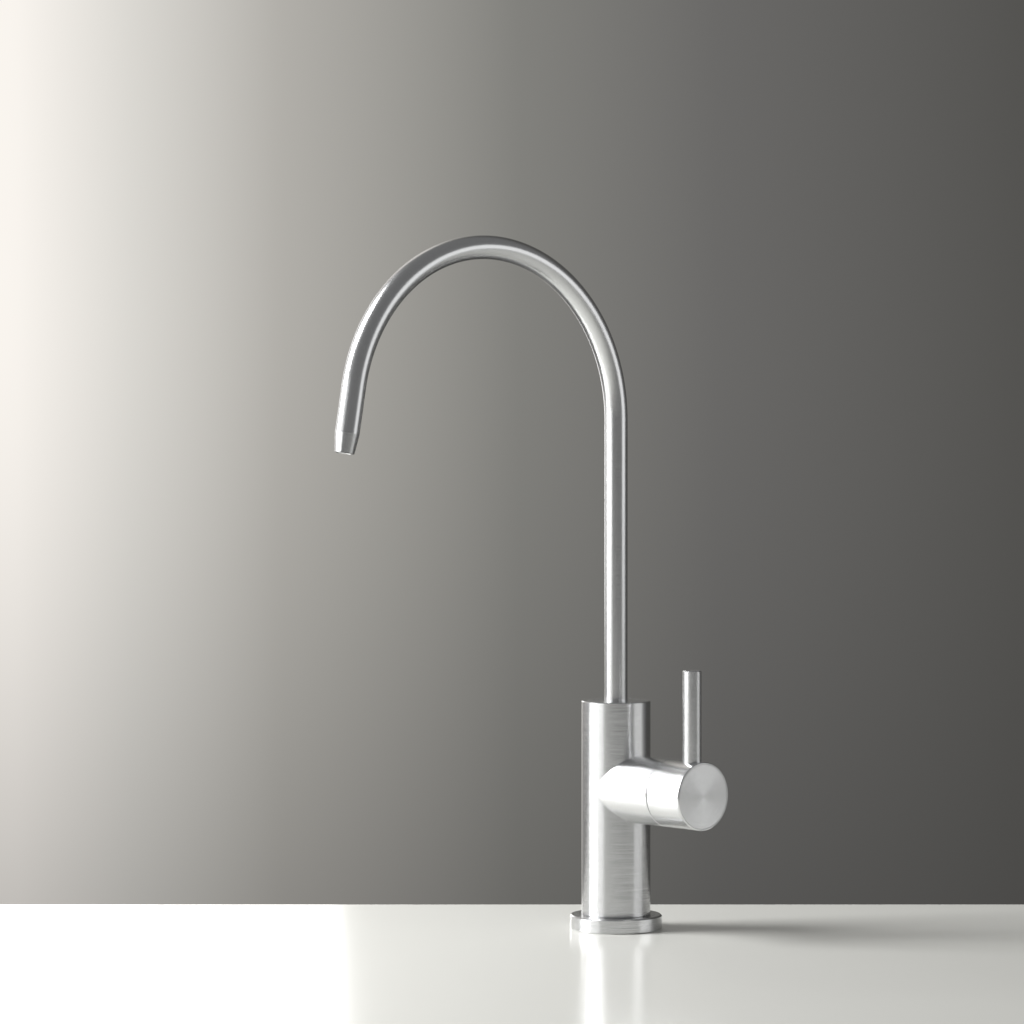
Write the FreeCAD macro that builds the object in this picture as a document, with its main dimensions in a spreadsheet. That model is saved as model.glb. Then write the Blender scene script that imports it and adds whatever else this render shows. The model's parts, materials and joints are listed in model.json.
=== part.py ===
import FreeCAD, Part
import math
import os
from types import SimpleNamespace

import Sketcher

# Drinking water faucet, deck mounted: a turned body with a side hub, a swivelling arched spout,
# and a quarter-turn lever handle that drives a ceramic disc valve.
# Frame: +Z up, the origin on the deck at the axis of the body and of its shank,
# +X along the side hub towards the lever, and -Y towards the basin, under the closed spout.
# Lengths are in millimetres and angles in degrees.

SIZES = (
    # Base, on and under the deck
    ("flange_radius", 20.0, "base flange, outer radius"),
    ("flange_height", 6.3, "base flange, height above the deck"),
    ("flange_chamfer", 0.6, "base flange, chamfer of its upper rim"),
    ("seal_radius", 16.4, "deck seal, outer radius"),
    ("seal_thickness", 2.0, "deck seal, thickness when squeezed flush"),
    ("deck_thickness", 28.0, "thickness of the deck that the faucet is clamped to"),
    ("shank_radius", 5.55, "threaded shank, outer radius of the 7/16 inch thread"),
    ("shank_below", 52.0, "threaded shank, length below the deck's top"),
    ("shank_grip", 14.0, "threaded shank, length screwed into the body"),
    ("shank_bore", 2.5, "threaded shank, radius of its waterway"),
    ("supply_radius", 3.25, "socket for the supply tube, radius"),
    ("supply_depth", 12.0, "socket for the supply tube, depth"),
    ("ferrule_cone", 0.9, "cone for the ferrule at the socket's mouth, depth and added radius"),
    ("rubber_washer_radius", 13.0, "rubber washer under the deck, outer radius"),
    ("rubber_washer_thickness", 2.5, "rubber washer under the deck, thickness"),
    ("steel_washer_radius", 12.0, "steel washer, outer radius"),
    ("steel_washer_thickness", 1.2, "steel washer, thickness"),
    ("lock_washer_radius", 9.4, "toothed lock washer, outer radius"),
    ("lock_washer_thickness", 0.8, "toothed lock washer, thickness"),
    ("lock_washer_tooth", 1.3, "toothed lock washer, depth of the gaps between its teeth"),
    ("nut_across", 17.5, "lock nut, size across its flats"),
    ("nut_height", 6.0, "lock nut, height"),
    # Body
    ("body_radius", 15.0, "body, outer radius"),
    ("edge_chamfer", 0.35, "small chamfer of turned edges"),
    ("hub_height", 61.5, "axis of the side hub above the deck"),
    ("hub_radius", 14.5, "side hub and handle barrel, outer radius"),
    ("inlet_radius", 3.0, "inlet waterway in the body, radius"),
    ("outlet_radius", 2.5, "outlet waterway in the body, radius"),
    ("outlet_reach", 2.5, "depth that the outlet waterway breaks into the valve chamber"),
    ("passage_wall", 3.4, "metal between the valve chamber and the spout's socket"),
    ("plenum_depth", 3.0, "water space under the spout's spigot"),
    ("spigot_ledge", 0.8, "width of the ledge that the spigot stands on"),
    ("cover_ledge", 2.0, "width of the ledge under the cover ring"),
    ("cover_thickness", 3.0, "cover ring, thickness"),
    # Spout
    ("tube_radius", 5.0, "spout tube, outer radius"),
    ("tube_wall", 1.0, "spout tube, wall"),
    ("riser_length", 121.9, "spout tube, straight length above the body"),
    ("arc_radius", 72.0, "spout arch, radius of the tube's centre line"),
    ("arc_angle", 170.0, "spout arch, angle of the bend"),
    ("straight_end", 19.5, "spout tube, straight length after the arch"),
    ("tube_grip", 11.0, "spout tube, length inside its spigot"),
    ("tip_length", 8.0, "outlet tip, length of its taper"),
    ("tip_radius", 4.0, "outlet tip, outer radius at its mouth"),
    ("tip_bore", 3.0, "outlet tip, radius of its bore"),
    ("tip_throat", 2.6, "outlet tip, radius of the narrower waterway in its plug"),
    ("tip_plug", 6.0, "outlet tip, length inside the tube"),
    ("spigot_wall", 3.0, "swivel spigot, metal outside the tube"),
    ("spigot_length", 18.0, "swivel spigot, length"),
    ("spigot_groove", 3.4, "swivel spigot, width of the groove for the grub screw"),
    ("spigot_groove_depth", 1.5, "swivel spigot, depth of the groove for the grub screw"),
    ("spout_ring", 1.5, "spout O-rings, thickness"),
    ("spout_ring_lift", 2.6, "lower spout O-ring above the spigot's foot"),
    ("spout_ring_pitch", 3.6, "distance between the spout O-rings"),
    ("grub_lift", 5.2, "grub screw above the upper spout O-ring"),
    ("grub_radius", 2.0, "grub screw, outer radius of the M4 thread"),
    ("grub_point", 1.25, "grub screw, radius of its dog point"),
    ("grub_point_length", 1.9, "grub screw, length of its dog point"),
    ("grub_sink", 0.7, "grub screw, depth of its end below the body's surface"),
    ("grub_key", 2.0, "grub screw, size across its hexagon socket"),
    # Valve in the side hub
    ("seat_wall", 1.5, "metal between the inlet waterway and the valve seat"),
    ("seat_seal_thickness", 3.0, "rubber seat seal, thickness"),
    ("seat_seal_wall", 1.3, "rubber seat seal, radial width"),
    ("disc_radius", 6.8, "ceramic discs, radius"),
    ("disc_thickness", 3.0, "ceramic discs, thickness"),
    ("port_inner", 1.8, "ports in the ceramic discs, inner radius"),
    ("port_rim", 1.6, "fixed disc, metal outside its ports"),
    ("port_half_angle", 38.0, "ports in the ceramic discs, half of their angle"),
    ("lug_width", 3.0, "fixed disc, width of its two lugs"),
    ("lug_reach", 1.1, "fixed disc, height of its two lugs"),
    ("slot_width", 2.2, "moving disc, width of the slot across its back"),
    ("slot_depth", 1.2, "moving disc, depth of the slot across its back"),
    ("spindle_head_thickness", 2.6, "spindle, thickness of its head"),
    ("spindle_head_step", 0.25, "spindle head, radius below that of the discs"),
    ("thrust_washer_thickness", 0.6, "thrust washer, thickness"),
    ("sleeve_wall", 1.6, "cartridge sleeve, wall around the discs"),
    ("sleeve_relief", 0.7, "gap between the sleeve's end and the valve seat"),
    ("window_width", 7.0, "water windows in the sleeve, width"),
    ("chamber_gap", 1.5, "water space between sleeve and hub"),
    ("thread_length", 10.0, "cartridge, length of the thread that holds it in the hub"),
    ("cartridge_ring", 1.8, "O-ring under the cartridge flange, thickness"),
    ("mouth_step", 1.6, "step in the hub's mouth that the cartridge flange seats on"),
    ("cartridge_flange", 1.6, "cartridge flange, thickness"),
    ("cartridge_across", 17.0, "cartridge hexagon, size across its flats"),
    ("cartridge_hexagon", 3.8, "cartridge hexagon, height"),
    ("mouth_depth", 8.35, "hub's mouth, depth"),
    ("neck_wall", 1.7, "cartridge neck, wall around the spindle"),
    ("neck_reach", 1.3, "cartridge neck, length beyond the hub"),
    ("spindle_radius", 3.9, "spindle, radius"),
    ("spindle_ring", 1.2, "spindle O-rings, thickness"),
    ("spindle_ring_lift", 4.0, "front spindle O-ring behind the housing's shoulder"),
    ("spindle_ring_pitch", 3.6, "distance between the spindle O-rings"),
    ("clip_thickness", 0.8, "spindle clip, thickness"),
    ("clip_depth", 0.8, "spindle clip, depth of its groove"),
    ("clip_width", 2.2, "spindle clip, radial width"),
    ("clip_sweep", 290.0, "spindle clip, angle that it goes round"),
    ("drive_across", 5.8, "square end of the spindle, size across its flats"),
    ("drive_length", 6.5, "square end of the spindle, length"),
    # Handle
    ("seam_gap", 0.4, "seam between the hub and the handle barrel"),
    ("clip_room", 1.0, "room behind the spindle clip"),
    ("glide_flange", 1.3, "glide ring, thickness of its flange"),
    ("glide_collar", 2.7, "glide ring, length of its collar inside the hub"),
    ("glide_wall", 1.15, "glide ring, wall of its collar"),
    ("screw_wall", 1.8, "barrel wall that the handle screw clamps"),
    ("screw_radius", 2.0, "handle screw, radius of the M4 thread"),
    ("screw_length", 12.0, "handle screw, length under its head"),
    ("screw_head_radius", 3.5, "handle screw, head radius"),
    ("screw_head_height", 2.8, "handle screw, head height"),
    ("screw_key", 2.5, "handle screw, size across its hexagon socket"),
    ("lever_offset", 12.8, "lever rod's axis behind the barrel's seam"),
    ("lever_radius", 4.0, "lever rod, radius"),
    ("lever_length", 53.0, "lever rod, height of its top above the hub's axis"),
    ("lever_chamfer", 0.3, "lever rod, chamfer of its top"),
    ("lever_sink", 1.5, "lever rod, depth that its foot is let into the barrel"),
    ("stud_radius", 2.5, "lever rod, radius of its M5 stud"),
    ("stud_length", 6.5, "lever rod, length of its stud"),
    ("cap_wall", 0.9, "metal between the lever's socket and the end cap"),
    ("cap_thickness", 2.1, "end cap, thickness of its disc"),
    ("cap_rim", 0.7, "barrel rim around the end cap"),
    ("cap_plug_step", 2.5, "end cap's plug, radius below that of the barrel"),
    ("cap_plug_wall", 1.5, "end cap's plug, wall"),
    # Clearances
    ("running_gap", 0.08, "radial clearance of a shaft that turns in its bore"),
    ("fitted_gap", 0.05, "radial clearance of pieces screwed or pressed together"),
    ("end_gap", 0.15, "end clearance of pieces that turn on each other"),
    ("passing_gap", 0.35, "clearance of a moving piece that only passes its neighbour"),
    ("disc_film", 0.04, "water film between the ceramic discs"),
    ("groove_gap", 0.04, "clearance of rings and clips in their grooves"),
    ("hole_gap", 0.3, "radial clearance of washers and flange around the shank"),
)

LOCK_WASHER_TEETH = 14
# slope of a nut's turned corners, in degrees
CORNER_SLOPE = 30
# width of an O-ring's groove, as a share of the ring's thickness
GROOVE_SHARE = 1.3
# width of a tooth gap, as a share of its depth
TOOTH_GAP_SHARE = 1.1
# depth of a hexagon socket, as a share of the screw's head
KEY_SHARE = 0.6
# length of the spindle's tongue, as a share of its head
TONGUE_SHARE = 0.9
# length of a cut that goes right through, and reach of one that leaves through a rim, as shares of a radius
THROUGH_SHARE = 2.2
BEYOND_SHARE = 1.2

DOC = FreeCAD.newDocument("Faucet")


class Size:
    """A dimension: its number, and the expression that ties it to the sheet of sizes."""

    def __init__(self, value, text):
        self.value = value
        self.text = text

    @classmethod
    def of(cls, number):
        """A plain number as a dimension; a dimension stays as it is."""
        return number if isinstance(number, cls) else cls(float(number), f"{float(number):.9f}")

    def __add__(self, other):
        other = Size.of(other)
        return Size(self.value + other.value, f"({self.text} + {other.text})")

    def __sub__(self, other):
        other = Size.of(other)
        return Size(self.value - other.value, f"({self.text} - {other.text})")

    def __mul__(self, other):
        other = Size.of(other)
        return Size(self.value * other.value, f"({self.text} * {other.text})")

    def __truediv__(self, other):
        other = Size.of(other)
        return Size(self.value / other.value, f"({self.text} / {other.text})")

    def __neg__(self):
        return Size.of(0) - self

    __radd__ = __add__
    __rmul__ = __mul__


def sine(angle):
    return Size(math.sin(math.radians(angle.value)), f"sin({angle.text})")


def cosine(angle):
    return Size(math.cos(math.radians(angle.value)), f"cos({angle.text})")


def write_sizes():
    """Put each driving dimension in the sheet under its own name."""
    sheet = DOC.addObject("Spreadsheet::Sheet", "Sizes")
    named = {}
    for row, (name, value, meaning) in enumerate(SIZES, start=1):
        sheet.set(f"A{row}", name)
        sheet.set(f"B{row}", str(value))
        sheet.set(f"C{row}", meaning)
        sheet.setAlias(f"B{row}", name)
        named[name] = Size(value, f"Sizes.{name}")
    DOC.recompute()
    return SimpleNamespace(**named)


D = write_sizes()


# Places worked out from the sizes: heights above the deck

SHANK_FLOOR = D.flange_height + D.shank_grip + D.end_gap
PLENUM_FLOOR = D.hub_height + D.disc_radius + D.running_gap + D.sleeve_wall + D.chamber_gap + D.passage_wall
SPIGOT_SEAT = PLENUM_FLOOR + D.plenum_depth
SPIGOT_FOOT = SPIGOT_SEAT + D.end_gap
SPIGOT_TOP = SPIGOT_FOOT + D.spigot_length
COVER_FOOT = SPIGOT_TOP + D.end_gap
BODY_TOP = COVER_FOOT + D.cover_thickness
LOWER_RING = SPIGOT_FOOT + D.spout_ring_lift
UPPER_RING = LOWER_RING + D.spout_ring_pitch
GRUB_HEIGHT = UPPER_RING + D.grub_lift
TUBE_FOOT = SPIGOT_TOP - D.tube_grip
ARC_START = BODY_TOP + D.riser_length

# Radii around the body's axis

SPIGOT_RADIUS = D.tube_radius + D.spigot_wall
SWIVEL_BORE = SPIGOT_RADIUS + D.running_gap
PLENUM_RADIUS = SPIGOT_RADIUS - D.spigot_ledge
COVER_RADIUS = SWIVEL_BORE + D.cover_ledge
OUTLET_OFFSET = PLENUM_RADIUS - D.outlet_radius - D.fitted_gap

# Radii around the hub's axis

SLEEVE_BORE = D.disc_radius + D.running_gap
SLEEVE_RADIUS = SLEEVE_BORE + D.sleeve_wall
CHAMBER_RADIUS = SLEEVE_RADIUS + D.chamber_gap
MOUTH_RADIUS = CHAMBER_RADIUS + D.mouth_step
GLIDE_RADIUS = (MOUTH_RADIUS + D.hub_radius) / 2
SPINDLE_BORE = D.spindle_radius + D.running_gap
NECK_RADIUS = SPINDLE_BORE + D.neck_wall
CAP_BORE = D.hub_radius - D.cap_rim
PLUG_BORE = D.hub_radius - D.cap_plug_step

# Distances along the hub's axis, from the body's axis

SEAT_X = D.inlet_radius + D.seat_wall
FIXED_DISC_X = SEAT_X + D.seat_seal_thickness
MOVING_DISC_X = FIXED_DISC_X + D.disc_thickness + D.disc_film
SPINDLE_HEAD_X = MOVING_DISC_X + D.disc_thickness + D.disc_film
THRUST_WASHER_X = SPINDLE_HEAD_X + D.spindle_head_thickness
SHOULDER_X = THRUST_WASHER_X + D.thrust_washer_thickness + D.end_gap
MOUTH_X = SHOULDER_X + D.thread_length
HUB_FACE_X = MOUTH_X + D.mouth_depth
NECK_END_X = HUB_FACE_X + D.neck_reach
CLIP_X = NECK_END_X + D.end_gap
BARREL_X = HUB_FACE_X + D.seam_gap
GLIDE_FACE_X = HUB_FACE_X + D.end_gap
GLIDE_BACK_X = BARREL_X + D.glide_flange
WEB_X = CLIP_X + D.clip_thickness + D.clip_room
SPINDLE_END_X = WEB_X + D.drive_length
DRIVE_FLOOR_X = SPINDLE_END_X + D.end_gap
SCREW_SEAT_X = DRIVE_FLOOR_X + D.screw_wall
LEVER_X = BARREL_X + D.lever_offset
PLUG_X = LEVER_X + D.stud_radius + D.cap_wall / 2
CAP_X = LEVER_X + D.lever_radius + D.fitted_gap + D.cap_wall
BARREL_END_X = CAP_X + D.cap_thickness
FRONT_SPINDLE_RING_X = SHOULDER_X + D.spindle_ring_lift
REAR_SPINDLE_RING_X = FRONT_SPINDLE_RING_X + D.spindle_ring_pitch


# Sketches and features


def new_piece(name, height=None):
    """An empty piece; with a height, its own origin stands that high above the deck."""
    body = DOC.addObject("PartDesign::Body", name)
    body.Label = name
    if height is not None:
        body.setExpression("Placement.Base.z", height.text)
    return body


def origin_feature(body, role):
    return next(f for f in body.Origin.OriginFeatures if f.Role == role)


def new_sketch(body, name, plane, lift=None):
    """A sketch on one of the piece's own planes, or raised from it along its normal."""
    sketch = body.newObject("Sketcher::SketchObject", name)
    sketch.AttachmentSupport = [(origin_feature(body, plane), "")]
    sketch.MapMode = "FlatFace"
    if lift is not None:
        sketch.setExpression("AttachmentOffset.Base.z", lift.text)
    return sketch


def fix_point(sketch, edge, end, x, y):
    """Hold one point of an edge at the given place."""
    for kind, place, axis in (("DistanceX", Size.of(x), -2), ("DistanceY", Size.of(y), -1)):
        if abs(place.value) < 1e-9:
            sketch.addConstraint(Sketcher.Constraint("PointOnObject", edge, end, axis))
        else:
            held = Sketcher.Constraint(kind, -1, 1, edge, end, place.value)
            index = sketch.addConstraint(held)
            sketch.setExpression(f"Constraints[{index}]", place.text)


def draw_outline(sketch, points):
    """A closed outline with straight edges from point to point."""
    corners = [FreeCAD.Vector(Size.of(x).value, Size.of(y).value, 0) for x, y in points]
    edges = [
        sketch.addGeometry(Part.LineSegment(start, end), False)
        for start, end in zip(corners, corners[1:] + corners[:1])
    ]
    for edge, following in zip(edges, edges[1:] + edges[:1]):
        sketch.addConstraint(Sketcher.Constraint("Coincident", edge, 2, following, 1))
    for edge, (x, y) in zip(edges, points):
        fix_point(sketch, edge, 1, x, y)


def draw_circle(sketch, x, y, radius):
    x, y, radius = Size.of(x), Size.of(y), Size.of(radius)
    centre = FreeCAD.Vector(x.value, y.value, 0)
    edge = sketch.addGeometry(Part.Circle(centre, FreeCAD.Vector(0, 0, 1), radius.value), False)
    fix_point(sketch, edge, 3, x, y)
    index = sketch.addConstraint(Sketcher.Constraint("Radius", edge, radius.value))
    sketch.setExpression(f"Constraints[{index}]", radius.text)


def draw_sector(sketch, inner, outer, half_angle, upward=True):
    """A slice of a ring between two radii, centred on the sketch's upright or level axis."""
    middle = 90 if upward else 0
    low = math.radians(middle - half_angle.value)
    high = math.radians(middle + half_angle.value)
    across, along = sine(half_angle), cosine(half_angle)

    def corner(radius, side):
        level, upright = radius * across * side, radius * along
        return (level, upright) if upward else (upright, -level)

    def spot(radius, angle):
        return FreeCAD.Vector(radius.value * math.cos(angle), radius.value * math.sin(angle), 0)

    def arc(radius):
        round_edge = Part.Circle(FreeCAD.Vector(0, 0, 0), FreeCAD.Vector(0, 0, 1), radius.value)
        return sketch.addGeometry(Part.ArcOfCircle(round_edge, low, high), False)

    first = sketch.addGeometry(Part.LineSegment(spot(inner, low), spot(outer, low)), False)
    second = sketch.addGeometry(Part.LineSegment(spot(inner, high), spot(outer, high)), False)
    outer_arc, inner_arc = arc(outer), arc(inner)
    for edge in (outer_arc, inner_arc):
        sketch.addConstraint(Sketcher.Constraint("Coincident", edge, 3, -1, 1))
    for arc_edge, line_end in ((inner_arc, 1), (outer_arc, 2)):
        sketch.addConstraint(Sketcher.Constraint("Coincident", arc_edge, 1, first, line_end))
        sketch.addConstraint(Sketcher.Constraint("Coincident", arc_edge, 2, second, line_end))
        level = "Horizontal" if upward else "Vertical"
        sketch.addConstraint(Sketcher.Constraint(level, first, line_end, second, line_end))
    fix_point(sketch, first, 1, *corner(inner, 1))
    fix_point(sketch, first, 2, *corner(outer, 1))


def turn(body, name, points, along="Z", cut=False, sweep=None):
    """Turn an outline about the piece's Z axis, or its X axis.

    Points are (radius, height) about Z and (distance, radius) about X.
    """
    sketch = new_sketch(body, name + "Outline", "XZ_Plane")
    draw_outline(sketch, points)
    return turn_sketch(body, name, sketch, along, cut, sweep)


def turn_sketch(body, name, sketch, along="Z", cut=False, sweep=None):
    kind = "PartDesign::Groove" if cut else "PartDesign::Revolution"
    feature = body.newObject(kind, name)
    feature.Profile = sketch
    feature.ReferenceAxis = (sketch, ["V_Axis" if along == "Z" else "H_Axis"])
    feature.Angle = 360
    if sweep is not None:
        feature.setExpression("Angle", sweep.text)
    return feature


def turn_ring(name, centre_radius, place, thickness, along, height=None):
    """An O-ring: a round section turned about the axis."""
    body = new_piece(name, height)
    sketch = new_sketch(body, "Section", "XZ_Plane")
    centre = (centre_radius, place) if along == "Z" else (place, centre_radius)
    draw_circle(sketch, *centre, thickness / 2)
    turn_sketch(body, "Ring", sketch, along)
    return body


def extrude(body, name, sketch, length, cut=False, backwards=False, both_ways=False):
    """Pad or pocket: a pad goes along the sketch's normal, and a pocket against it."""
    feature = body.newObject("PartDesign::Pocket" if cut else "PartDesign::Pad", name)
    feature.Profile = sketch
    feature.Type = "Length"
    feature.setExpression("Length", length.text)
    feature.Reversed = backwards
    feature.Midplane = both_ways
    return feature


def repeat_round(body, name, feature, axis, count):
    """Copies of a feature, evenly spaced round an axis of the piece."""
    pattern = body.newObject("PartDesign::PolarPattern", name)
    pattern.Originals = [feature]
    pattern.Axis = (origin_feature(body, axis), [""])
    pattern.Angle = 360
    pattern.Occurrences = count
    body.Tip = pattern
    return pattern


def hexagon(across):
    """Corners of a hexagon with the given size across its flats."""
    share = 1 / math.sqrt(3)
    turns = [math.radians(60 * step) for step in range(6)]
    places = [(share * math.cos(turn), share * math.sin(turn)) for turn in turns]
    return [(across * x, across * y) for x, y in places]


def rectangle(low_x, low_y, high_x, high_y):
    return [(low_x, low_y), (high_x, low_y), (high_x, high_y), (low_x, high_y)]


def groove(start, width, radius, depth):
    """Points of a groove in a turned outline that runs along X."""
    floor = radius - depth
    return [(start, radius), (start, floor), (start + width, floor), (start + width, radius)]


def ring_groove(middle, ring, radius):
    """Groove for an O-ring, a little wider than the ring."""
    width = ring * GROOVE_SHARE
    return groove(middle - width / 2, width, radius, ring)


def upright(points):
    """The same outline for a piece turned about Z: (distance, radius) becomes (radius, distance)."""
    return [(radius, distance) for distance, radius in points]


# Base and mounting


def make_base_flange():
    body = new_piece("base_flange")
    bore = D.shank_radius + D.hole_gap
    recess = D.seal_radius + D.fitted_gap
    turn(body, "Flange", [
        (bore, D.seal_thickness),
        (recess, D.seal_thickness),
        (recess, 0),
        (D.flange_radius - D.edge_chamfer, 0),
        (D.flange_radius, D.edge_chamfer),
        (D.flange_radius, D.flange_height - D.flange_chamfer),
        (D.flange_radius - D.flange_chamfer, D.flange_height),
        (bore, D.flange_height),
    ])


def make_washer(name, top, outer, thickness):
    """A flat washer around the shank, hanging down from the given height."""
    body = new_piece(name)
    turn(body, "Washer", [
        (D.shank_radius + D.hole_gap, top - thickness),
        (outer, top - thickness),
        (outer, top),
        (D.shank_radius + D.hole_gap, top),
    ])
    return body


def make_mounting():
    """Deck seal, and the washers and nut that clamp the deck from below."""
    make_washer("deck_seal", D.seal_thickness, D.seal_radius, D.seal_thickness)
    steel_top = -D.deck_thickness - D.rubber_washer_thickness
    lock_top = steel_top - D.steel_washer_thickness
    nut_top = lock_top - D.lock_washer_thickness
    make_washer("rubber_washer", -D.deck_thickness, D.rubber_washer_radius, D.rubber_washer_thickness)
    make_washer("steel_washer", steel_top, D.steel_washer_radius, D.steel_washer_thickness)
    make_lock_washer(lock_top)
    make_lock_nut(nut_top)


def make_lock_washer(top):
    """A washer with a ring of teeth round its rim."""
    body = make_washer("lock_washer", top, D.lock_washer_radius, D.lock_washer_thickness)
    gap = new_sketch(body, "ToothGap", "XY_Plane", top)
    root = D.lock_washer_radius - D.lock_washer_tooth
    beyond = D.lock_washer_radius + D.lock_washer_tooth
    half = D.lock_washer_tooth * TOOTH_GAP_SHARE / 2
    draw_outline(gap, rectangle(root, -half, beyond, half))
    cut = extrude(body, "Gap", gap, D.lock_washer_thickness, cut=True)
    repeat_round(body, "Teeth", cut, "Z_Axis", LOCK_WASHER_TEETH)


def make_lock_nut(top):
    """A hexagon nut with its corners turned off at both faces."""
    body = new_piece("lock_nut")
    foot = top - D.nut_height
    sketch = new_sketch(body, "Hexagon", "XY_Plane", foot)
    draw_outline(sketch, hexagon(D.nut_across))
    draw_circle(sketch, 0, 0, D.shank_radius + D.fitted_gap)
    extrude(body, "Nut", sketch, D.nut_height)
    flat = D.nut_across / 2
    corner = D.nut_across / math.sqrt(3)
    outside = corner * 2 - flat
    fall = (outside - flat) * math.tan(math.radians(CORNER_SLOPE))
    for name, face, inner in (("UpperCorners", top, top - fall), ("LowerCorners", foot, foot + fall)):
        turn(body, name, [(flat, face), (outside, face), (outside, inner)], cut=True)


def make_shank():
    """Hollow threaded shank, screwed up into the body, with a socket for the supply tube."""
    body = new_piece("threaded_shank")
    foot = -D.shank_below
    top = D.flange_height + D.shank_grip
    mouth = D.supply_radius + D.ferrule_cone
    turn(body, "Shank", [
        (D.shank_bore, foot + D.supply_depth),
        (D.supply_radius, foot + D.supply_depth),
        (D.supply_radius, foot + D.ferrule_cone),
        (mouth, foot),
        (D.shank_radius - D.edge_chamfer, foot),
        (D.shank_radius, foot + D.edge_chamfer),
        (D.shank_radius, top - D.edge_chamfer),
        (D.shank_radius - D.edge_chamfer, top),
        (D.shank_bore, top),
    ])


# Body


def make_body():
    """Body and side hub in one piece, with the waterways bored through them.

    The piece's own origin is where the body's axis crosses the hub's axis.
    """
    body = new_piece("faucet_body", D.hub_height)

    def above(height):
        return height - D.hub_height

    foot, top = above(D.flange_height), above(BODY_TOP)
    turn(body, "Column", [
        (0, foot),
        (D.body_radius - D.edge_chamfer, foot),
        (D.body_radius, foot + D.edge_chamfer),
        (D.body_radius, top - D.edge_chamfer),
        (D.body_radius - D.edge_chamfer, top),
        (0, top),
    ])
    hub_end = HUB_FACE_X - D.edge_chamfer / 2
    turn(body, "Hub", [
        (0, 0),
        (0, D.hub_radius),
        (hub_end, D.hub_radius),
        (HUB_FACE_X, D.hub_radius - D.edge_chamfer / 2),
        (HUB_FACE_X, 0),
    ], along="X")
    shank_bore = D.shank_radius + D.fitted_gap
    turn(body, "InletBore", [
        (0, foot),
        (shank_bore, foot),
        (shank_bore, above(SHANK_FLOOR)),
        (D.inlet_radius, above(SHANK_FLOOR)),
        (D.inlet_radius, D.inlet_radius),
        (0, D.inlet_radius),
    ], cut=True)
    turn(body, "ValveBore", [
        (0, 0),
        (0, D.inlet_radius),
        (SEAT_X, D.inlet_radius),
        (SEAT_X, CHAMBER_RADIUS),
        (MOUTH_X, CHAMBER_RADIUS),
        (MOUTH_X, MOUTH_RADIUS),
        (HUB_FACE_X, MOUTH_RADIUS),
        (HUB_FACE_X, 0),
    ], along="X", cut=True)
    turn(body, "SwivelBore", [
        (0, top),
        (COVER_RADIUS, top),
        (COVER_RADIUS, above(COVER_FOOT)),
        (SWIVEL_BORE, above(COVER_FOOT)),
        (SWIVEL_BORE, above(SPIGOT_SEAT)),
        (PLENUM_RADIUS, above(SPIGOT_SEAT)),
        (PLENUM_RADIUS, above(PLENUM_FLOOR)),
        (0, above(PLENUM_FLOOR)),
    ], cut=True)
    passage = new_sketch(body, "OutletPassage", "XY_Plane", above(PLENUM_FLOOR))
    draw_circle(passage, OUTLET_OFFSET, 0, D.outlet_radius)
    extrude(body, "OutletBore", passage, D.passage_wall + D.outlet_reach, cut=True)
    grub_hole = new_sketch(body, "GrubThread", "XZ_Plane")
    draw_circle(grub_hole, 0, above(GRUB_HEIGHT), D.grub_radius + D.fitted_gap)
    extrude(body, "GrubHole", grub_hole, D.body_radius, cut=True)


def make_cover_ring():
    """Ring let flush into the body's top, which holds the spigot down around the tube."""
    body = new_piece("cover_ring")
    outer = COVER_RADIUS - D.fitted_gap
    inner = D.tube_radius + D.passing_gap
    turn(body, "Ring", [
        (inner, COVER_FOOT),
        (outer, COVER_FOOT),
        (outer, BODY_TOP),
        (inner, BODY_TOP),
    ])


def make_grub_screw():
    """Screw from the body's back whose point runs in the spigot's groove and keeps the spout in."""
    body = new_piece("spout_grub_screw", GRUB_HEIGHT)
    point = SPIGOT_RADIUS - D.spigot_groove_depth + D.passing_gap
    end = D.body_radius - D.grub_sink
    lying = FreeCAD.Rotation(FreeCAD.Vector(1, 0, 0), -90)
    body.Placement = FreeCAD.Placement(FreeCAD.Vector(0, 0, 0), lying)
    turn(body, "Screw", [
        (0, point),
        (D.grub_point, point),
        (D.grub_point, point + D.grub_point_length),
        (D.grub_radius, point + D.grub_point_length + D.edge_chamfer),
        (D.grub_radius, end - D.edge_chamfer),
        (D.grub_radius - D.edge_chamfer, end),
        (0, end),
    ])
    key = new_sketch(body, "Key", "XY_Plane", end)
    draw_outline(key, hexagon(D.grub_key))
    extrude(body, "KeySocket", key, D.grub_key, cut=True)


# Spout


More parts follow.
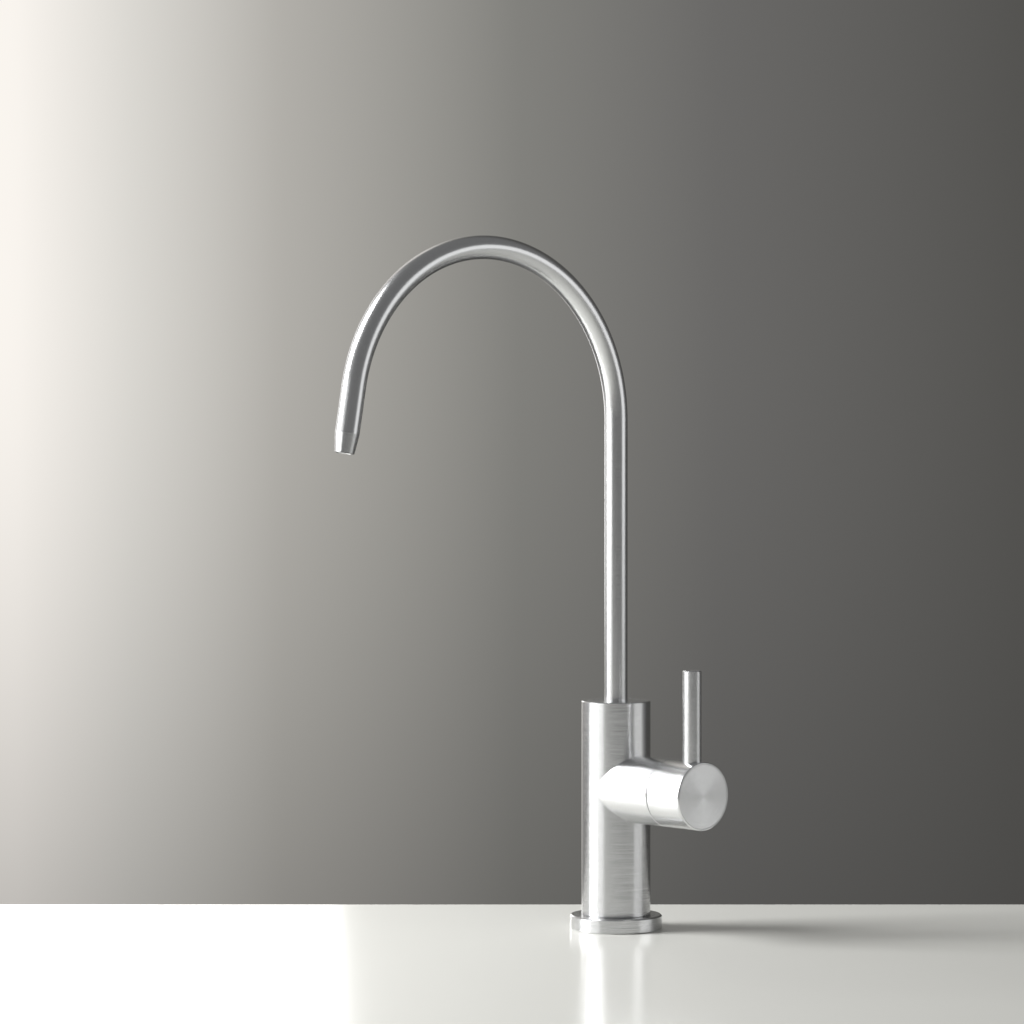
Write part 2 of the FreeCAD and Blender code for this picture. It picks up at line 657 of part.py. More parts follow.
def make_spout_tube():
    """Thin tube: straight up, over in one wide arch, and down a short straight end."""
    body = new_piece("spout_tube")
    section = new_sketch(body, "Section", "XY_Plane", TUBE_FOOT)
    draw_circle(section, 0, 0, D.tube_radius)
    draw_circle(section, 0, 0, D.tube_radius - D.tube_wall)
    path = new_sketch(body, "CentreLine", "YZ_Plane")
    radius, angle = D.arc_radius, D.arc_angle
    bend = math.radians(angle.value)
    foot = FreeCAD.Vector(0, TUBE_FOOT.value, 0)
    start = FreeCAD.Vector(0, ARC_START.value, 0)
    centre = FreeCAD.Vector(-radius.value, ARC_START.value, 0)
    circle = Part.Circle(centre, FreeCAD.Vector(0, 0, 1), radius.value)
    arc_end = centre + FreeCAD.Vector(math.cos(bend), math.sin(bend), 0) * radius.value
    heading = FreeCAD.Vector(-math.sin(bend), math.cos(bend), 0) * D.straight_end.value
    riser = path.addGeometry(Part.LineSegment(foot, start), False)
    arch = path.addGeometry(Part.ArcOfCircle(circle, 0, bend), False)
    drop = path.addGeometry(Part.LineSegment(arc_end, arc_end + heading), False)
    path.addConstraint(Sketcher.Constraint("Tangent", riser, 2, arch, 1))
    path.addConstraint(Sketcher.Constraint("Tangent", arch, 2, drop, 1))
    fix_point(path, riser, 1, 0, TUBE_FOOT)
    fix_point(path, riser, 2, 0, ARC_START)
    for kind, edge, size in (("Radius", arch, radius), ("Distance", drop, D.straight_end)):
        index = path.addConstraint(Sketcher.Constraint(kind, edge, size.value))
        path.setExpression(f"Constraints[{index}]", size.text)
    sweep = path.addConstraint(Sketcher.Constraint("Angle", arch, bend))
    path.setExpression(f"Constraints[{sweep}]", f"{angle.text} * 1 deg")
    pipe = body.newObject("PartDesign::AdditivePipe", "Bend")
    pipe.Profile = section
    pipe.Spine = path


def make_spout_tip():
    """Tapered outlet tip, plugged into the tube's end and pointing along it."""
    body = new_piece("spout_tip")
    end_y = (cosine(D.arc_angle) - 1) * D.arc_radius - sine(D.arc_angle) * D.straight_end
    end_z = ARC_START + sine(D.arc_angle) * D.arc_radius + cosine(D.arc_angle) * D.straight_end
    body.Placement = FreeCAD.Placement(
        FreeCAD.Vector(0, end_y.value, end_z.value),
        FreeCAD.Rotation(FreeCAD.Vector(1, 0, 0), D.arc_angle.value),
    )
    body.setExpression("Placement.Base.y", end_y.text)
    body.setExpression("Placement.Base.z", end_z.text)
    body.setExpression("Placement.Rotation.Angle", D.arc_angle.text)
    plug = D.tube_radius - D.tube_wall - D.fitted_gap
    lip = D.edge_chamfer
    turn(body, "Tip", [
        (D.tip_throat, -D.tip_plug),
        (plug, -D.tip_plug),
        (plug, 0),
        (D.tube_radius, 0),
        (D.tip_radius, D.tip_length),
        (D.tip_bore + lip, D.tip_length),
        (D.tip_bore, D.tip_length - lip),
        (D.tip_bore, 0),
        (D.tip_throat, 0),
    ])


def make_swivel_spigot():
    """Turned bush brazed on the tube's foot, with grooves for two O-rings and the grub screw."""
    body = new_piece("swivel_spigot")
    socket = D.tube_radius + D.fitted_gap
    bore = D.tube_radius - D.tube_wall
    grooves = [
        ring_groove(LOWER_RING, D.spout_ring, SPIGOT_RADIUS),
        ring_groove(UPPER_RING, D.spout_ring, SPIGOT_RADIUS),
        groove(GRUB_HEIGHT - D.spigot_groove / 2, D.spigot_groove, SPIGOT_RADIUS, D.spigot_groove_depth),
    ]
    edge = [(SPIGOT_FOOT, SPIGOT_RADIUS - D.edge_chamfer), (SPIGOT_FOOT + D.edge_chamfer, SPIGOT_RADIUS)]
    outside = edge + [point for points in grooves for point in points]
    turn(body, "Spigot", [(bore, SPIGOT_FOOT)] + upright(outside) + [
        (SPIGOT_RADIUS, SPIGOT_TOP - D.edge_chamfer),
        (SPIGOT_RADIUS - D.edge_chamfer, SPIGOT_TOP),
        (socket, SPIGOT_TOP),
        (socket, TUBE_FOOT),
        (bore, TUBE_FOOT),
    ])


def make_spout_rings():
    centre = SPIGOT_RADIUS - D.spout_ring / 2 + D.groove_gap / 2
    turn_ring("lower_spout_ring", centre, LOWER_RING, D.spout_ring, "Z")
    turn_ring("upper_spout_ring", centre, UPPER_RING, D.spout_ring, "Z")


# Valve, all about the hub's axis


def make_cartridge_housing():
    """Brass headwork: sleeve round the discs, thread, flange, hexagon and spindle neck."""
    body = new_piece("cartridge_housing", D.hub_height)
    front = SEAT_X + D.sleeve_relief
    thread_radius = CHAMBER_RADIUS - D.fitted_gap
    ring_start = MOUTH_X - D.cartridge_ring * GROOVE_SHARE
    flange_radius = MOUTH_RADIUS - D.passing_gap
    flange_end = MOUTH_X + D.cartridge_flange
    hexagon_end = flange_end + D.cartridge_hexagon
    turn(body, "Turning", [
        (front, SLEEVE_BORE),
        (front, SLEEVE_RADIUS),
        (SHOULDER_X, SLEEVE_RADIUS),
        (SHOULDER_X, thread_radius),
        (ring_start, thread_radius),
        (ring_start, thread_radius - D.cartridge_ring),
        (MOUTH_X, thread_radius - D.cartridge_ring),
        (MOUTH_X, flange_radius),
        (flange_end, flange_radius),
        (flange_end, NECK_RADIUS),
        (NECK_END_X, NECK_RADIUS),
        (NECK_END_X, SPINDLE_BORE),
        (SHOULDER_X, SPINDLE_BORE),
        (SHOULDER_X, SLEEVE_BORE),
    ], along="X")
    nut = new_sketch(body, "Hexagon", "YZ_Plane", flange_end)
    draw_outline(nut, hexagon(D.cartridge_across))
    draw_circle(nut, 0, 0, SPINDLE_BORE)
    extrude(body, "SpannerHexagon", nut, hexagon_end - flange_end)
    window = new_sketch(body, "WindowOutline", "XY_Plane")
    half = D.window_width / 2
    draw_outline(window, rectangle(MOVING_DISC_X, -half, MOVING_DISC_X + D.disc_thickness, half))
    extrude(body, "Windows", window, SLEEVE_RADIUS * THROUGH_SHARE, cut=True, both_ways=True)
    slot = new_sketch(body, "LugSlotOutline", "XZ_Plane")
    half = D.lug_width / 2 + D.fitted_gap
    slot_end = FIXED_DISC_X + D.disc_thickness + D.fitted_gap
    draw_outline(slot, rectangle(front - D.sleeve_relief, -half, slot_end, half))
    extrude(body, "LugSlots", slot, SLEEVE_RADIUS * THROUGH_SHARE, cut=True, both_ways=True)


def make_cartridge_seals():
    """Rubber seal on the valve seat, and the O-ring under the cartridge's flange."""
    body = new_piece("seat_seal", D.hub_height)
    outer = D.disc_radius - D.fitted_gap
    turn(body, "Seal", [
        (SEAT_X, outer - D.seat_seal_wall),
        (SEAT_X, outer),
        (FIXED_DISC_X, outer),
        (FIXED_DISC_X, outer - D.seat_seal_wall),
    ], along="X")
    centre = CHAMBER_RADIUS - D.fitted_gap - D.cartridge_ring / 2 + D.groove_gap / 2
    place = MOUTH_X - D.cartridge_ring * GROOVE_SHARE / 2
    turn_ring("cartridge_ring", centre, place, D.cartridge_ring, "X", D.hub_height)


def make_fixed_disc():
    """Ceramic disc with two ports and two lugs that lock it in the sleeve."""
    body = new_piece("fixed_disc", D.hub_height)
    face = new_sketch(body, "Face", "YZ_Plane", FIXED_DISC_X)
    draw_circle(face, 0, 0, D.disc_radius)
    extrude(body, "Disc", face, D.disc_thickness)
    lug = new_sketch(body, "LugOutline", "YZ_Plane", FIXED_DISC_X)
    half = D.lug_width / 2
    root = D.disc_radius - D.lug_reach
    draw_outline(lug, rectangle(root, -half, D.disc_radius + D.lug_reach, half))
    lug_pad = extrude(body, "Lug", lug, D.disc_thickness)
    repeat_round(body, "Lugs", lug_pad, "X_Axis", 2)
    port = new_sketch(body, "PortOutline", "YZ_Plane", FIXED_DISC_X + D.disc_thickness)
    draw_sector(port, D.port_inner, D.disc_radius - D.port_rim, D.port_half_angle)
    port_cut = extrude(body, "Port", port, D.disc_thickness, cut=True)
    repeat_round(body, "Ports", port_cut, "X_Axis", 2)


def make_moving_disc():
    """Ceramic disc with two notches open at its rim, shut at rest and a quarter turn from open."""
    body = new_piece("moving_disc", D.hub_height)
    back = MOVING_DISC_X + D.disc_thickness
    face = new_sketch(body, "Face", "YZ_Plane", MOVING_DISC_X)
    draw_circle(face, 0, 0, D.disc_radius)
    extrude(body, "Disc", face, D.disc_thickness)
    notch = new_sketch(body, "NotchOutline", "YZ_Plane", back)
    draw_sector(notch, D.port_inner, D.disc_radius * BEYOND_SHARE, D.port_half_angle, upward=False)
    notch_cut = extrude(body, "Notch", notch, D.disc_thickness, cut=True)
    repeat_round(body, "Notches", notch_cut, "X_Axis", 2)
    slot = new_sketch(body, "SlotOutline", "YZ_Plane", back)
    half, reach = D.slot_width / 2, D.disc_radius * BEYOND_SHARE
    draw_outline(slot, rectangle(-half, -reach, half, reach))
    extrude(body, "Slot", slot, D.slot_depth, cut=True)


def make_spindle():
    """Spindle: head with a tongue for the moving disc, O-ring grooves, clip groove, square end."""
    body = new_piece("spindle", D.hub_height)
    radius = D.spindle_radius
    head = D.disc_radius - D.spindle_head_step
    bore = D.screw_radius + D.fitted_gap
    bore_end = SCREW_SEAT_X - D.screw_length - D.screw_radius
    rings = [
        ring_groove(FRONT_SPINDLE_RING_X, D.spindle_ring, radius),
        ring_groove(REAR_SPINDLE_RING_X, D.spindle_ring, radius),
        groove(CLIP_X, D.clip_thickness, radius, D.clip_depth),
    ]
    grooves = [point for points in rings for point in points]
    turn(body, "Turning", [
        (SPINDLE_HEAD_X, 0),
        (SPINDLE_HEAD_X, head),
        (THRUST_WASHER_X, head),
        (THRUST_WASHER_X, radius),
    ] + grooves + [
        (SPINDLE_END_X - D.edge_chamfer, radius),
        (SPINDLE_END_X, radius - D.edge_chamfer),
        (SPINDLE_END_X, bore),
        (bore_end, bore),
        (bore_end, 0),
    ], along="X")
    tongue = new_sketch(body, "TongueOutline", "YZ_Plane", SPINDLE_HEAD_X)
    half = D.slot_width / 2 - D.fitted_gap
    reach = head * TONGUE_SHARE
    draw_outline(tongue, rectangle(-half, -reach, half, reach))
    extrude(body, "Tongue", tongue, D.slot_depth - D.fitted_gap, backwards=True)
    flat = new_sketch(body, "FlatOutline", "YZ_Plane", SPINDLE_END_X)
    draw_outline(flat, rectangle(D.drive_across / 2, -radius, radius * BEYOND_SHARE, radius))
    flat_cut = extrude(body, "Flat", flat, D.drive_length, cut=True)
    repeat_round(body, "Square", flat_cut, "X_Axis", 4)


def make_spindle_rings():
    centre = D.spindle_radius - D.spindle_ring / 2 + D.groove_gap / 2
    places = {"front_spindle_ring": FRONT_SPINDLE_RING_X, "rear_spindle_ring": REAR_SPINDLE_RING_X}
    for name, place in places.items():
        turn_ring(name, centre, place, D.spindle_ring, "X", D.hub_height)


def make_thrust_washer():
    body = new_piece("thrust_washer", D.hub_height)
    inner = D.spindle_radius + D.fitted_gap
    outer = D.disc_radius - D.spindle_head_step
    end = THRUST_WASHER_X + D.thrust_washer_thickness
    turn(body, "Washer", rectangle(THRUST_WASHER_X, inner, end, outer), along="X")


def make_spindle_clip():
    """Open ring in the spindle's groove that stops the spindle from being pushed in."""
    body = new_piece("spindle_clip", D.hub_height)
    inner = D.spindle_radius - D.clip_depth + D.fitted_gap
    start = CLIP_X + D.groove_gap
    end = CLIP_X + D.clip_thickness - D.groove_gap
    points = rectangle(start, inner, end, inner + D.clip_width)
    turn(body, "Clip", points, along="X", sweep=D.clip_sweep)


# Handle


def make_glide_ring():
    """Plastic ring that centres the handle barrel in the hub's mouth."""
    body = new_piece("glide_ring", D.hub_height)
    collar = MOUTH_RADIUS - D.running_gap
    inner = collar - D.glide_wall
    flange = GLIDE_RADIUS - D.fitted_gap
    turn(body, "Ring", [
        (HUB_FACE_X - D.glide_collar, inner),
        (HUB_FACE_X - D.glide_collar, collar),
        (GLIDE_FACE_X, collar),
        (GLIDE_FACE_X, flange),
        (GLIDE_BACK_X, flange),
        (GLIDE_BACK_X, inner),
    ], along="X")


def make_handle_barrel():
    """Turned barrel with the square drive, the screw's seat, the cap's recess and the lever's socket."""
    body = new_piece("handle_barrel", D.hub_height)
    radius = D.hub_radius
    seam = D.edge_chamfer / 2
    head_bore = D.screw_head_radius + D.passing_gap
    screw_bore = D.screw_radius + D.passing_gap
    drive_bore = D.drive_across / 2
    turn(body, "Turning", [
        (BARREL_X, GLIDE_RADIUS),
        (BARREL_X, radius - seam),
        (BARREL_X + seam, radius),
        (BARREL_END_X - D.edge_chamfer, radius),
        (BARREL_END_X, radius - D.edge_chamfer),
        (BARREL_END_X, CAP_BORE),
        (CAP_X, CAP_BORE),
        (CAP_X, PLUG_BORE),
        (PLUG_X, PLUG_BORE),
        (PLUG_X, head_bore),
        (SCREW_SEAT_X, head_bore),
        (SCREW_SEAT_X, screw_bore),
        (DRIVE_FLOOR_X, screw_bore),
        (DRIVE_FLOOR_X, drive_bore),
        (WEB_X, drive_bore),
        (WEB_X, MOUTH_RADIUS),
        (GLIDE_BACK_X, MOUTH_RADIUS),
        (GLIDE_BACK_X, GLIDE_RADIUS),
    ], along="X")
    drive = new_sketch(body, "DriveOutline", "YZ_Plane", DRIVE_FLOOR_X)
    half = D.drive_across / 2 + D.fitted_gap
    draw_outline(drive, rectangle(-half, -half, half, half))
    extrude(body, "SquareDrive", drive, DRIVE_FLOOR_X - WEB_X, cut=True)
    socket = new_sketch(body, "SocketOutline", "XY_Plane", radius)
    draw_circle(socket, LEVER_X, 0, D.lever_radius + D.fitted_gap)
    extrude(body, "LeverSocket", socket, D.lever_sink, cut=True)
    thread = new_sketch(body, "StudThread", "XY_Plane", radius)
    draw_circle(thread, LEVER_X, 0, D.stud_radius + D.fitted_gap)
    extrude(body, "StudHole", thread, D.lever_sink + D.stud_length + D.end_gap, cut=True)


def make_lever_rod():
    """Straight round lever with a threaded stud at its foot."""
    body = new_piece("lever_rod", D.hub_height)
    body.setExpression("Placement.Base.x", LEVER_X.text)
    foot = D.hub_radius - D.lever_sink
    stud_end = foot - D.stud_length
    top = D.lever_length
    turn(body, "Rod", [
        (0, stud_end),
        (D.stud_radius - D.edge_chamfer, stud_end),
        (D.stud_radius, stud_end + D.edge_chamfer),
        (D.stud_radius, foot),
        (D.lever_radius, foot),
        (D.lever_radius, top - D.lever_chamfer),
        (D.lever_radius - D.lever_chamfer, top),
        (0, top),
    ])


def make_end_cap():
    """Disc that closes the barrel's end, with a ring behind it that presses into the barrel."""
    body = new_piece("end_cap", D.hub_height)
    disc = CAP_BORE - D.fitted_gap
    plug = PLUG_BORE - D.fitted_gap
    chamfer = D.edge_chamfer / 2
    turn(body, "Cap", [
        (PLUG_X + D.end_gap, plug - D.cap_plug_wall),
        (PLUG_X + D.end_gap, plug),
        (CAP_X, plug),
        (CAP_X, disc),
        (BARREL_END_X - chamfer, disc),
        (BARREL_END_X, disc - chamfer),
        (BARREL_END_X, 0),
        (CAP_X, 0),
        (CAP_X, plug - D.cap_plug_wall),
    ], along="X")


def make_handle_screw():
    """Screw with a hexagon socket that holds the barrel on the spindle."""
    body = new_piece("handle_screw", D.hub_height)
    head_end = SCREW_SEAT_X + D.screw_head_height
    tip = SCREW_SEAT_X - D.screw_length
    turn(body, "Screw", [
        (tip, 0),
        (tip, D.screw_radius - D.edge_chamfer),
        (tip + D.edge_chamfer, D.screw_radius),
        (SCREW_SEAT_X, D.screw_radius),
        (SCREW_SEAT_X, D.screw_head_radius),
        (head_end - D.edge_chamfer, D.screw_head_radius),
        (head_end, D.screw_head_radius - D.edge_chamfer),
        (head_end, 0),
    ], along="X")
    key = new_sketch(body, "Key", "YZ_Plane", head_end)
    draw_outline(key, hexagon(D.screw_key))
    extrude(body, "KeySocket", key, D.screw_head_height * KEY_SHARE, cut=True)


def check_pieces():
    """Stop if a feature failed, or if a cut took nothing away."""
    for item in DOC.Objects:
        if {"Invalid", "Error"} & set(item.State):
            raise RuntimeError(f"{item.Name} failed: {item.State}")
        if item.TypeId in ("PartDesign::Pocket", "PartDesign::Groove"):
            if item.Shape.Volume >= item.BaseFeature.Shape.Volume - 1e-6:
                raise RuntimeError(f"{item.Name} cuts nothing")
        if item.TypeId == "PartDesign::Body":
            if item.Shape.isNull() or not item.Shape.isValid() or len(item.Shape.Solids) != 1:
                raise RuntimeError(f"{item.Label} is not one sound solid")


def write_pieces():
    os.makedirs("parts", exist_ok=True)
    for item in DOC.Objects:
        if item.TypeId == "PartDesign::Body":
            item.Shape.exportStep(f"parts/{item.Label}.step")


make_base_flange()
make_mounting()
make_shank()
make_body()
make_cover_ring()
make_grub_screw()
make_spout_tube()
make_spout_tip()
make_swivel_spigot()
make_spout_rings()
make_cartridge_housing()
make_cartridge_seals()
make_fixed_disc()
make_moving_disc()
make_spindle()
make_spindle_rings()
make_thrust_washer()
make_spindle_clip()
make_glide_ring()
make_handle_barrel()
make_lever_rod()
make_end_cap()
make_handle_screw()
DOC.recompute()
check_pieces()
write_pieces()
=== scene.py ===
import json
import math

import bmesh
import bpy
from bpy.props import FloatProperty, FloatVectorProperty, IntProperty, PointerProperty
from mathutils import Matrix, Vector


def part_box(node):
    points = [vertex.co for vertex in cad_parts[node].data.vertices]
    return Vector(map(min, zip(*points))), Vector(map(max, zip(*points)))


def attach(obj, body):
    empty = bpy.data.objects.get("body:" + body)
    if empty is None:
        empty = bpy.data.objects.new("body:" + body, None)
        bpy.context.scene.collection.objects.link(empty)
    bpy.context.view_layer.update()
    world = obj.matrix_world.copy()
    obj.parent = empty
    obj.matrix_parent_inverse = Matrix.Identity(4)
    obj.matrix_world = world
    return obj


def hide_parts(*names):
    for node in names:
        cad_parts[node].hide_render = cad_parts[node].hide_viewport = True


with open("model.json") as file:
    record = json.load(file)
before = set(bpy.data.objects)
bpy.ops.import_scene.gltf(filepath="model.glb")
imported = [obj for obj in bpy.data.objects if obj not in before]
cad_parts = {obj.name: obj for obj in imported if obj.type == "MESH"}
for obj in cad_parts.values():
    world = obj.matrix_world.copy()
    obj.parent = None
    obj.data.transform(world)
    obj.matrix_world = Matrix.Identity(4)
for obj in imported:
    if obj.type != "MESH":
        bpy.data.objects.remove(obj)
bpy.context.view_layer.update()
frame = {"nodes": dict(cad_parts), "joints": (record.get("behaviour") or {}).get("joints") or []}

bl_info = {
    "name": "Drinking water faucet",
    "version": (1, 0, 0),
    "blender": (4, 5, 0),
    "location": "3D View > Sidebar > Faucet",
    "description": "Models a drinking water faucet over its packed frame, and lights it in a studio",
    "category": "Add Mesh",
}

# Edges that turn by more than this stay crisp
CRISP = math.radians(12)
# Points closer than this are one point, in metres; the thread's turns meet less exactly
SAME_PLACE, SAME_ROW = 1e-7, 1e-6
IN_PLACE = Matrix.Identity(4)
# The tube and the small holes have the turned pieces' number of flat strips, divided by these
TUBE_SHARE, HOLE_SHARE = 3, 4
# Where two bores of one size cross, the second is this much narrower, so their walls don't touch along lines
CROSSING = 0.995
# From a hexagon's corner to the middle of its side, and the slope of the turning on a nut's corners
HALF_SIDE = math.radians(30)


def foot_of(node, axis):
    """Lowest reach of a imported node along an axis."""
    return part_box(node)[0]["XYZ".index(axis)]


def reach_of(node, axis):
    """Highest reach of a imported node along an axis."""
    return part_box(node)[1]["XYZ".index(axis)]


def span_of(node, axis):
    """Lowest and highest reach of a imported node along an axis."""
    return foot_of(node, axis), reach_of(node, axis)


def middle_of(node, axis):
    """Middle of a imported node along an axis."""
    return sum(span_of(node, axis)) / 2


def half_of(node, axis):
    """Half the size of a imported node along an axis."""
    return (reach_of(node, axis) - foot_of(node, axis)) / 2


def way_after(turn):
    """The spout's heading once it has bent by an angle."""
    return Vector((0, -math.sin(turn), math.cos(turn)))


# The handle turns about the hub's axis, which the joint gives
HUB_HEIGHT = next(joint for joint in frame["joints"] if joint["name"] == "handle_turn")["pos_m"][2]


# Settings


def number(name, default, description, **limits):
    """A plain number."""
    return FloatProperty(name=name, description=description, default=default, **limits)


def metres(name, default, description, low=0.0, high=0.5):
    """A length."""
    return number(name, default, description, min=low, max=high, unit="LENGTH", precision=5)


def share(name, default, description, high=1.0):
    """A share or a factor."""
    return number(name, default, description, min=0.0, max=high, subtype="FACTOR")


def brightness(name, default, description):
    """A light's brightness, at which white is 1."""
    return number(name, default, description, min=0.0, max=100.0)


def degrees(name, default, description):
    """An angle, with its default in degrees."""
    return number(name, math.radians(default), description, min=-math.tau, max=math.tau, subtype="ANGLE")


def tint(name, default, description):
    """A colour."""
    return FloatVectorProperty(
        name=name, description=description, default=default, size=3, min=0.0, max=1.0, subtype="COLOR"
    )


class FaucetSizes(bpy.types.PropertyGroup):
    """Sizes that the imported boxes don't give: edges, walls, bores and the bend of the spout"""

    facets: IntProperty(
        name="Facets", description="Flat strips round each turned piece", default=256, min=32, max=512
    )
    bend_steps: IntProperty(
        name="Bend steps", description="Rings of points along the spout's arch", default=170, min=16, max=360
    )
    edge: metres("Edge", 0.00035, "Chamfer of the turned edges")
    flange_edge: metres("Flange edge", 0.0006, "Chamfer of the base flange's upper rim")
    fit: metres("Fit", 0.00005, "Clearance of pieces pressed or screwed together")
    run: metres("Running clearance", 0.00008, "Clearance of pieces that turn in each other")
    pass_by: metres("Passing clearance", 0.00035, "Clearance of a piece that only passes its neighbour")
    end_play: metres("End play", 0.00015, "End clearance of pieces that turn on each other")
    hole_gap: metres("Hole gap", 0.0003, "Clearance of washers and flange round the shank")
    arch_radius: metres("Arch radius", 0.072, "Radius of the spout's centre line in the arch")
    arch_sweep: degrees("Arch sweep", 170, "Angle that the spout bends through")
    arch_lift: metres("Arch lift", 0.1219, "Straight length of the spout above the body")
    drop: metres("Drop", 0.0195, "Straight length of the spout after the arch")
    tube_wall: metres("Tube wall", 0.001, "Wall of the spout tube")
    tip_length: metres("Tip length", 0.008, "Length of the outlet tip's taper")
    tip_mouth: metres("Tip mouth", 0.004, "Outer radius of the outlet tip at its mouth")
    tip_bore: metres("Tip bore", 0.003, "Radius of the outlet tip's bore")
    tip_throat: metres("Tip throat", 0.0026, "Radius of the waterway in the outlet tip's plug")
    tip_plug: metres("Tip plug", 0.006, "Length of the outlet tip inside the tube")
    inlet: metres("Inlet", 0.003, "Radius of the inlet waterway in the body")
    chamber: metres("Chamber", 0.00998, "Radius of the valve chamber in the hub")
    mouth: metres("Mouth", 0.01158, "Radius of the hub's mouth")
    mouth_depth: metres("Mouth depth", 0.00835, "Depth of the hub's mouth")
    plenum_step: metres("Plenum step", 0.0008, "Ledge under the swivelling spigot")
    plenum_depth: metres("Plenum depth", 0.003, "Depth of the water space under the spigot")
    outlet: metres("Outlet", 0.0025, "Radius of the outlet waterway in the body")
    outlet_depth: metres("Outlet depth", 0.0057, "Depth of the outlet waterway below the plenum")
    lever_sink: metres("Lever sink", 0.0015, "Depth that the lever's foot is let into the barrel")
    stud: metres("Stud", 0.0025, "Radius of the lever's stud")
    stud_length: metres("Stud length", 0.0065, "Length of the lever's stud")
    cap_rim: metres("Cap rim", 0.0007, "Width of the barrel's rim round the end cap")
    cap_disc: metres("Cap disc", 0.0021, "Thickness of the end cap's disc")
    cap_plug_step: metres("Cap plug step", 0.0025, "Cap plug's radius below the barrel's")
    cap_plug_wall: metres("Cap plug wall", 0.0015, "Wall of the end cap's plug")
    drive_length: metres("Drive length", 0.0065, "Length of the spindle's square inside the barrel")
    drive_hole: metres("Drive hole", 0.0029, "Radius of the barrel's hole round the spindle's square")
    screw_head: metres("Screw head", 0.0028, "Height of the handle screw's head")
    screw_hole: metres("Screw hole", 0.00235, "Radius of the barrel's hole round the handle screw")
    supply: metres("Supply socket", 0.00325, "Radius of the shank's socket for the supply tube")
    supply_depth: metres("Supply depth", 0.012, "Depth of the shank's socket")
    supply_cone: metres("Supply cone", 0.0009, "Cone at the socket's mouth")
    shank_bore: metres("Shank bore", 0.0025, "Radius of the shank's waterway")
    thread_pitch: metres("Thread pitch", 0.0010583, "Pitch of the shank's 24 turns an inch thread")
    thread_depth: metres("Thread depth", 0.00055, "Depth of the shank's thread")
    nut_across: metres("Nut across flats", 0.0175, "Size across the lock nut's flats")


class FaucetFinish(bpy.types.PropertyGroup):
    """Colours and surface qualities of the faucet's materials"""

    steel: tint("Steel", (0.62, 0.625, 0.63), "Colour of the satin stainless steel")
    steel_roughness: share("Steel roughness", 0.23, "Roughness of the body's satin stainless steel")
    tube_roughness: share("Tube roughness", 0.26, "Roughness of the drawn tube and rod")
    grain: share("Grain", 0.9, "How far the brushed lines spread a reflection across them", high=3.0)
    tube_grain: share("Tube grain", 0.25, "The same on the drawn tube and rod", high=3.0)
    waver: share("Waver", 0.08, "How far the brushed lines break up a reflection's edge", high=3.0)
    lines_per_metre: number("Lines", 80000.0, "Brushed lines in a metre", min=10.0, max=200000.0)
    streaks_per_metre: number("Streaks", 2600.0, "Broader streaks in a metre", min=10.0, max=20000.0)
    plated: tint("Plated steel", (0.56, 0.57, 0.58), "Colour of the plated fasteners")
    brass: tint("Brass", (0.72, 0.50, 0.20), "Colour of the turned brass")
    rubber: tint("Rubber", (0.02, 0.02, 0.02), "Colour of the seals")
    ceramic: tint("Ceramic", (0.86, 0.84, 0.80), "Colour of the ceramic discs")
    plastic: tint("Plastic", (0.09, 0.09, 0.09), "Colour of the low-friction rings")


class FaucetStudio(bpy.types.PropertyGroup):
    """Camera, floor, backdrop and lights"""

    lens: number("Lens", 120.0, "Focal length", min=20.0, max=300.0, subtype="DISTANCE_CAMERA")
    distance: metres("Camera distance", 1.48222, "Distance of the camera from the body's axis", high=10.0)
    offset: metres("Camera offset", 0.0452, "Sideways offset of the body's axis in the view", low=-1.0)
    height: metres("Camera height", 0.20339, "Height of the camera above the floor", high=3.0)
    heading: degrees("Camera heading", 50.08, "Angle of the camera round the faucet")
    tilt: degrees("Camera tilt", 0.86, "Angle that the camera looks down")
    floor_back: metres("Floor behind", 0.0798, "Floor behind the faucet, along the view", high=5.0)
    floor: tint("Floor", (0.80, 0.80, 0.76), "Colour of the floor")
    # The backdrop glows with painted light: bright at the left, dark at the right, and painted shade at its
    # foot
    backdrop_bright: tint("Backdrop, bright side", (0.97, 0.93, 0.88), "Light on the backdrop at the left")
    backdrop_dark: tint("Backdrop, dark side", (0.09, 0.088, 0.083), "Light on the backdrop at the right")
    backdrop_low: tint("Backdrop, foot", (0.048, 0.047, 0.045), "Light on the backdrop far down")
    surround: brightness("Surround", 0.2, "Light from all round")
    key: brightness("Key softbox", 17.0, "The main light, high on the left")
    low: brightness("Low softbox", 7.2, "Light on the left, just above the floor")
    front: brightness("Front softbox", 2.1, "Light between the low softbox and the camera")
    right: brightness("Right softbox", 1.1, "Light on the right")
    side: brightness("Side softbox", 0.45, "Light on the left, between the low and the rear softbox")
    rear: brightness("Rear softbox", 1.5, "Light behind the faucet, on the left")


# Shaping


def crisp(bm):
    """Merge coincident points, face outwards, and mark the edges that stay crisp."""
    bmesh.ops.remove_doubles(bm, verts=bm.verts, dist=SAME_PLACE)
    bmesh.ops.recalc_face_normals(bm, faces=bm.faces)
    for face in bm.faces:
        face.smooth = True
    for edge in bm.edges:
        edge.smooth = len(edge.link_faces) == 2 and edge.calc_face_angle(0.0) < CRISP


def as_piece(bm, name):
    """The shaped mesh as an object at the origin."""
    crisp(bm)
    mesh = bpy.data.meshes.new(name)
    bm.to_mesh(mesh)
    bm.free()
    piece = bpy.data.objects.new(name, mesh)
    bpy.context.scene.collection.objects.link(piece)
    return piece


